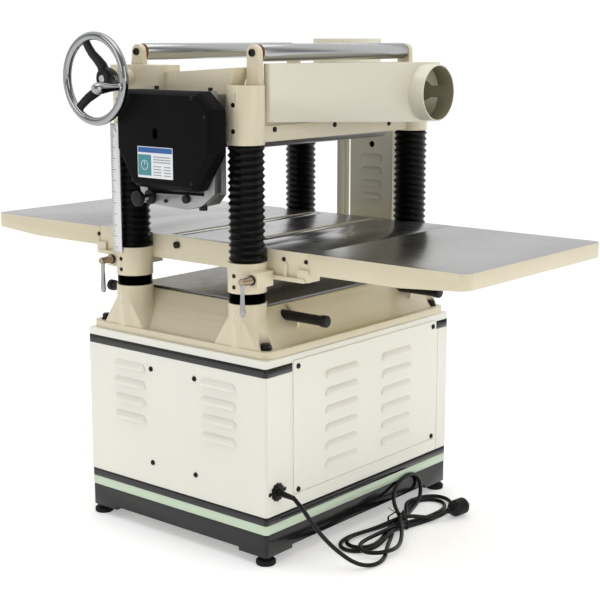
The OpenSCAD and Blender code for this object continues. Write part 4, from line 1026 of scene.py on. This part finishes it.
grip = [(4.05, 0), (7.6, 0), (8.8, 0.8), (9, 2.2), (8.6, 3.6), (7.4, 5), (6.9, 9), (7.2, 16), (8.2, 26),
        (9.9, 37), (11.6, 47), (12.4, 54), (12.5, 59), (11.9, 64), (10.2, 69), (7.4, 73), (3.6, 75.4),
        (0.01, 76), (0.01, 68), (4.05, 68)]
handle = lathe("grip_body", grip, (427, gy, gz), "crank_grip", M["chrome"], segs=64, sharp=50)
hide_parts("crank_grip")

# ---------- hood and cord inlet ----------
# second slot is the darker cream, painted shade inside the port
dress("dust_hood", ["sheet_cream", "duct_painted_shade"], 1.2, 2, 40)
PORT_X, PORT_Z, PORT_END, PORT_BORE = -200, 992, 330, 62.6


def in_port(c, n):
    """Faces inside the dust port, which look toward its axis; they get the darker painted shade."""
    x, z = c.x - PORT_X, c.z - PORT_Z
    r = math.hypot(x, z)
    return 150 < c.y < PORT_END - 0.1 and r < PORT_BORE and n.x * x + n.z * z < 0.3 * r - 0.01


paint_faces("dust_hood", 1, in_port)
dress("cord_inlet", "satin_black", 0.5)

# ---------- floor and light ----------
bpy.ops.mesh.primitive_plane_add(size=600)
floor = bpy.context.object
floor.name = "floor"
fm, _, fp = nodes_of("floor")
fp.inputs["Base Color"].default_value = (0.93, 0.93, 0.93, 1)
fp.inputs["Emission Color"].default_value = (1, 1, 1, 1)
fp.inputs["Emission Strength"].default_value = 0.33
fp.inputs["Specular IOR Level"].default_value = 0.1
fp.inputs["Roughness"].default_value = 0.7
floor.data.materials.append(fm)
for o in list(scene.objects):
    if o.name in ("Cube", "Light") or (o.type == "CAMERA" and o is not cam):
        bpy.data.objects.remove(o)


def area(name, at, to, size, power):
    """A square soft light at a place, turned toward another."""
    d = bpy.data.lights.new(name, "AREA")
    d.shape, d.size, d.energy = "SQUARE", size, power
    o = bpy.data.objects.new(name, d)
    scene.collection.objects.link(o)
    o.location = at
    o.rotation_mode = "QUATERNION"
    o.rotation_quaternion = (Vector(to) - Vector(at)).to_track_quat("-Z", "Y")


area("top", (0.3, 0.3, 4.2), (0, 0, 0.6), 3.2, 42)
area("left", (3.6, -1.4, 2.2), (0, 0, 0.6), 2.2, 24)
area("right", (0.4, 4.2, 1.9), (0, 0, 0.6), 2.4, 30)
world = bpy.data.worlds.new("world")
scene.world = world
world.use_nodes = True
wt = world.node_tree
bg = wt.nodes["Background"]
# bright from above and from behind the machine, dimmer from the room in front of it
tc = wt.nodes.new("ShaderNodeTexCoord")
dot = wt.nodes.new("ShaderNodeVectorMath")
dot.operation = "DOT_PRODUCT"
dot.inputs[1].default_value = (-0.72, -0.58, 0.42)
wt.links.new(tc.outputs["Generated"], dot.inputs[0])
greys = [(p, (g, g, g)) for p, g in ((0.0, 0.34), (0.12, 0.45), (0.40, 1.0), (1.0, 1.0))]
sky = ramp(wt, dot.outputs["Value"], greys)
wt.links.new(sky, bg.inputs["Color"])
bg.inputs["Strength"].default_value = 1.02
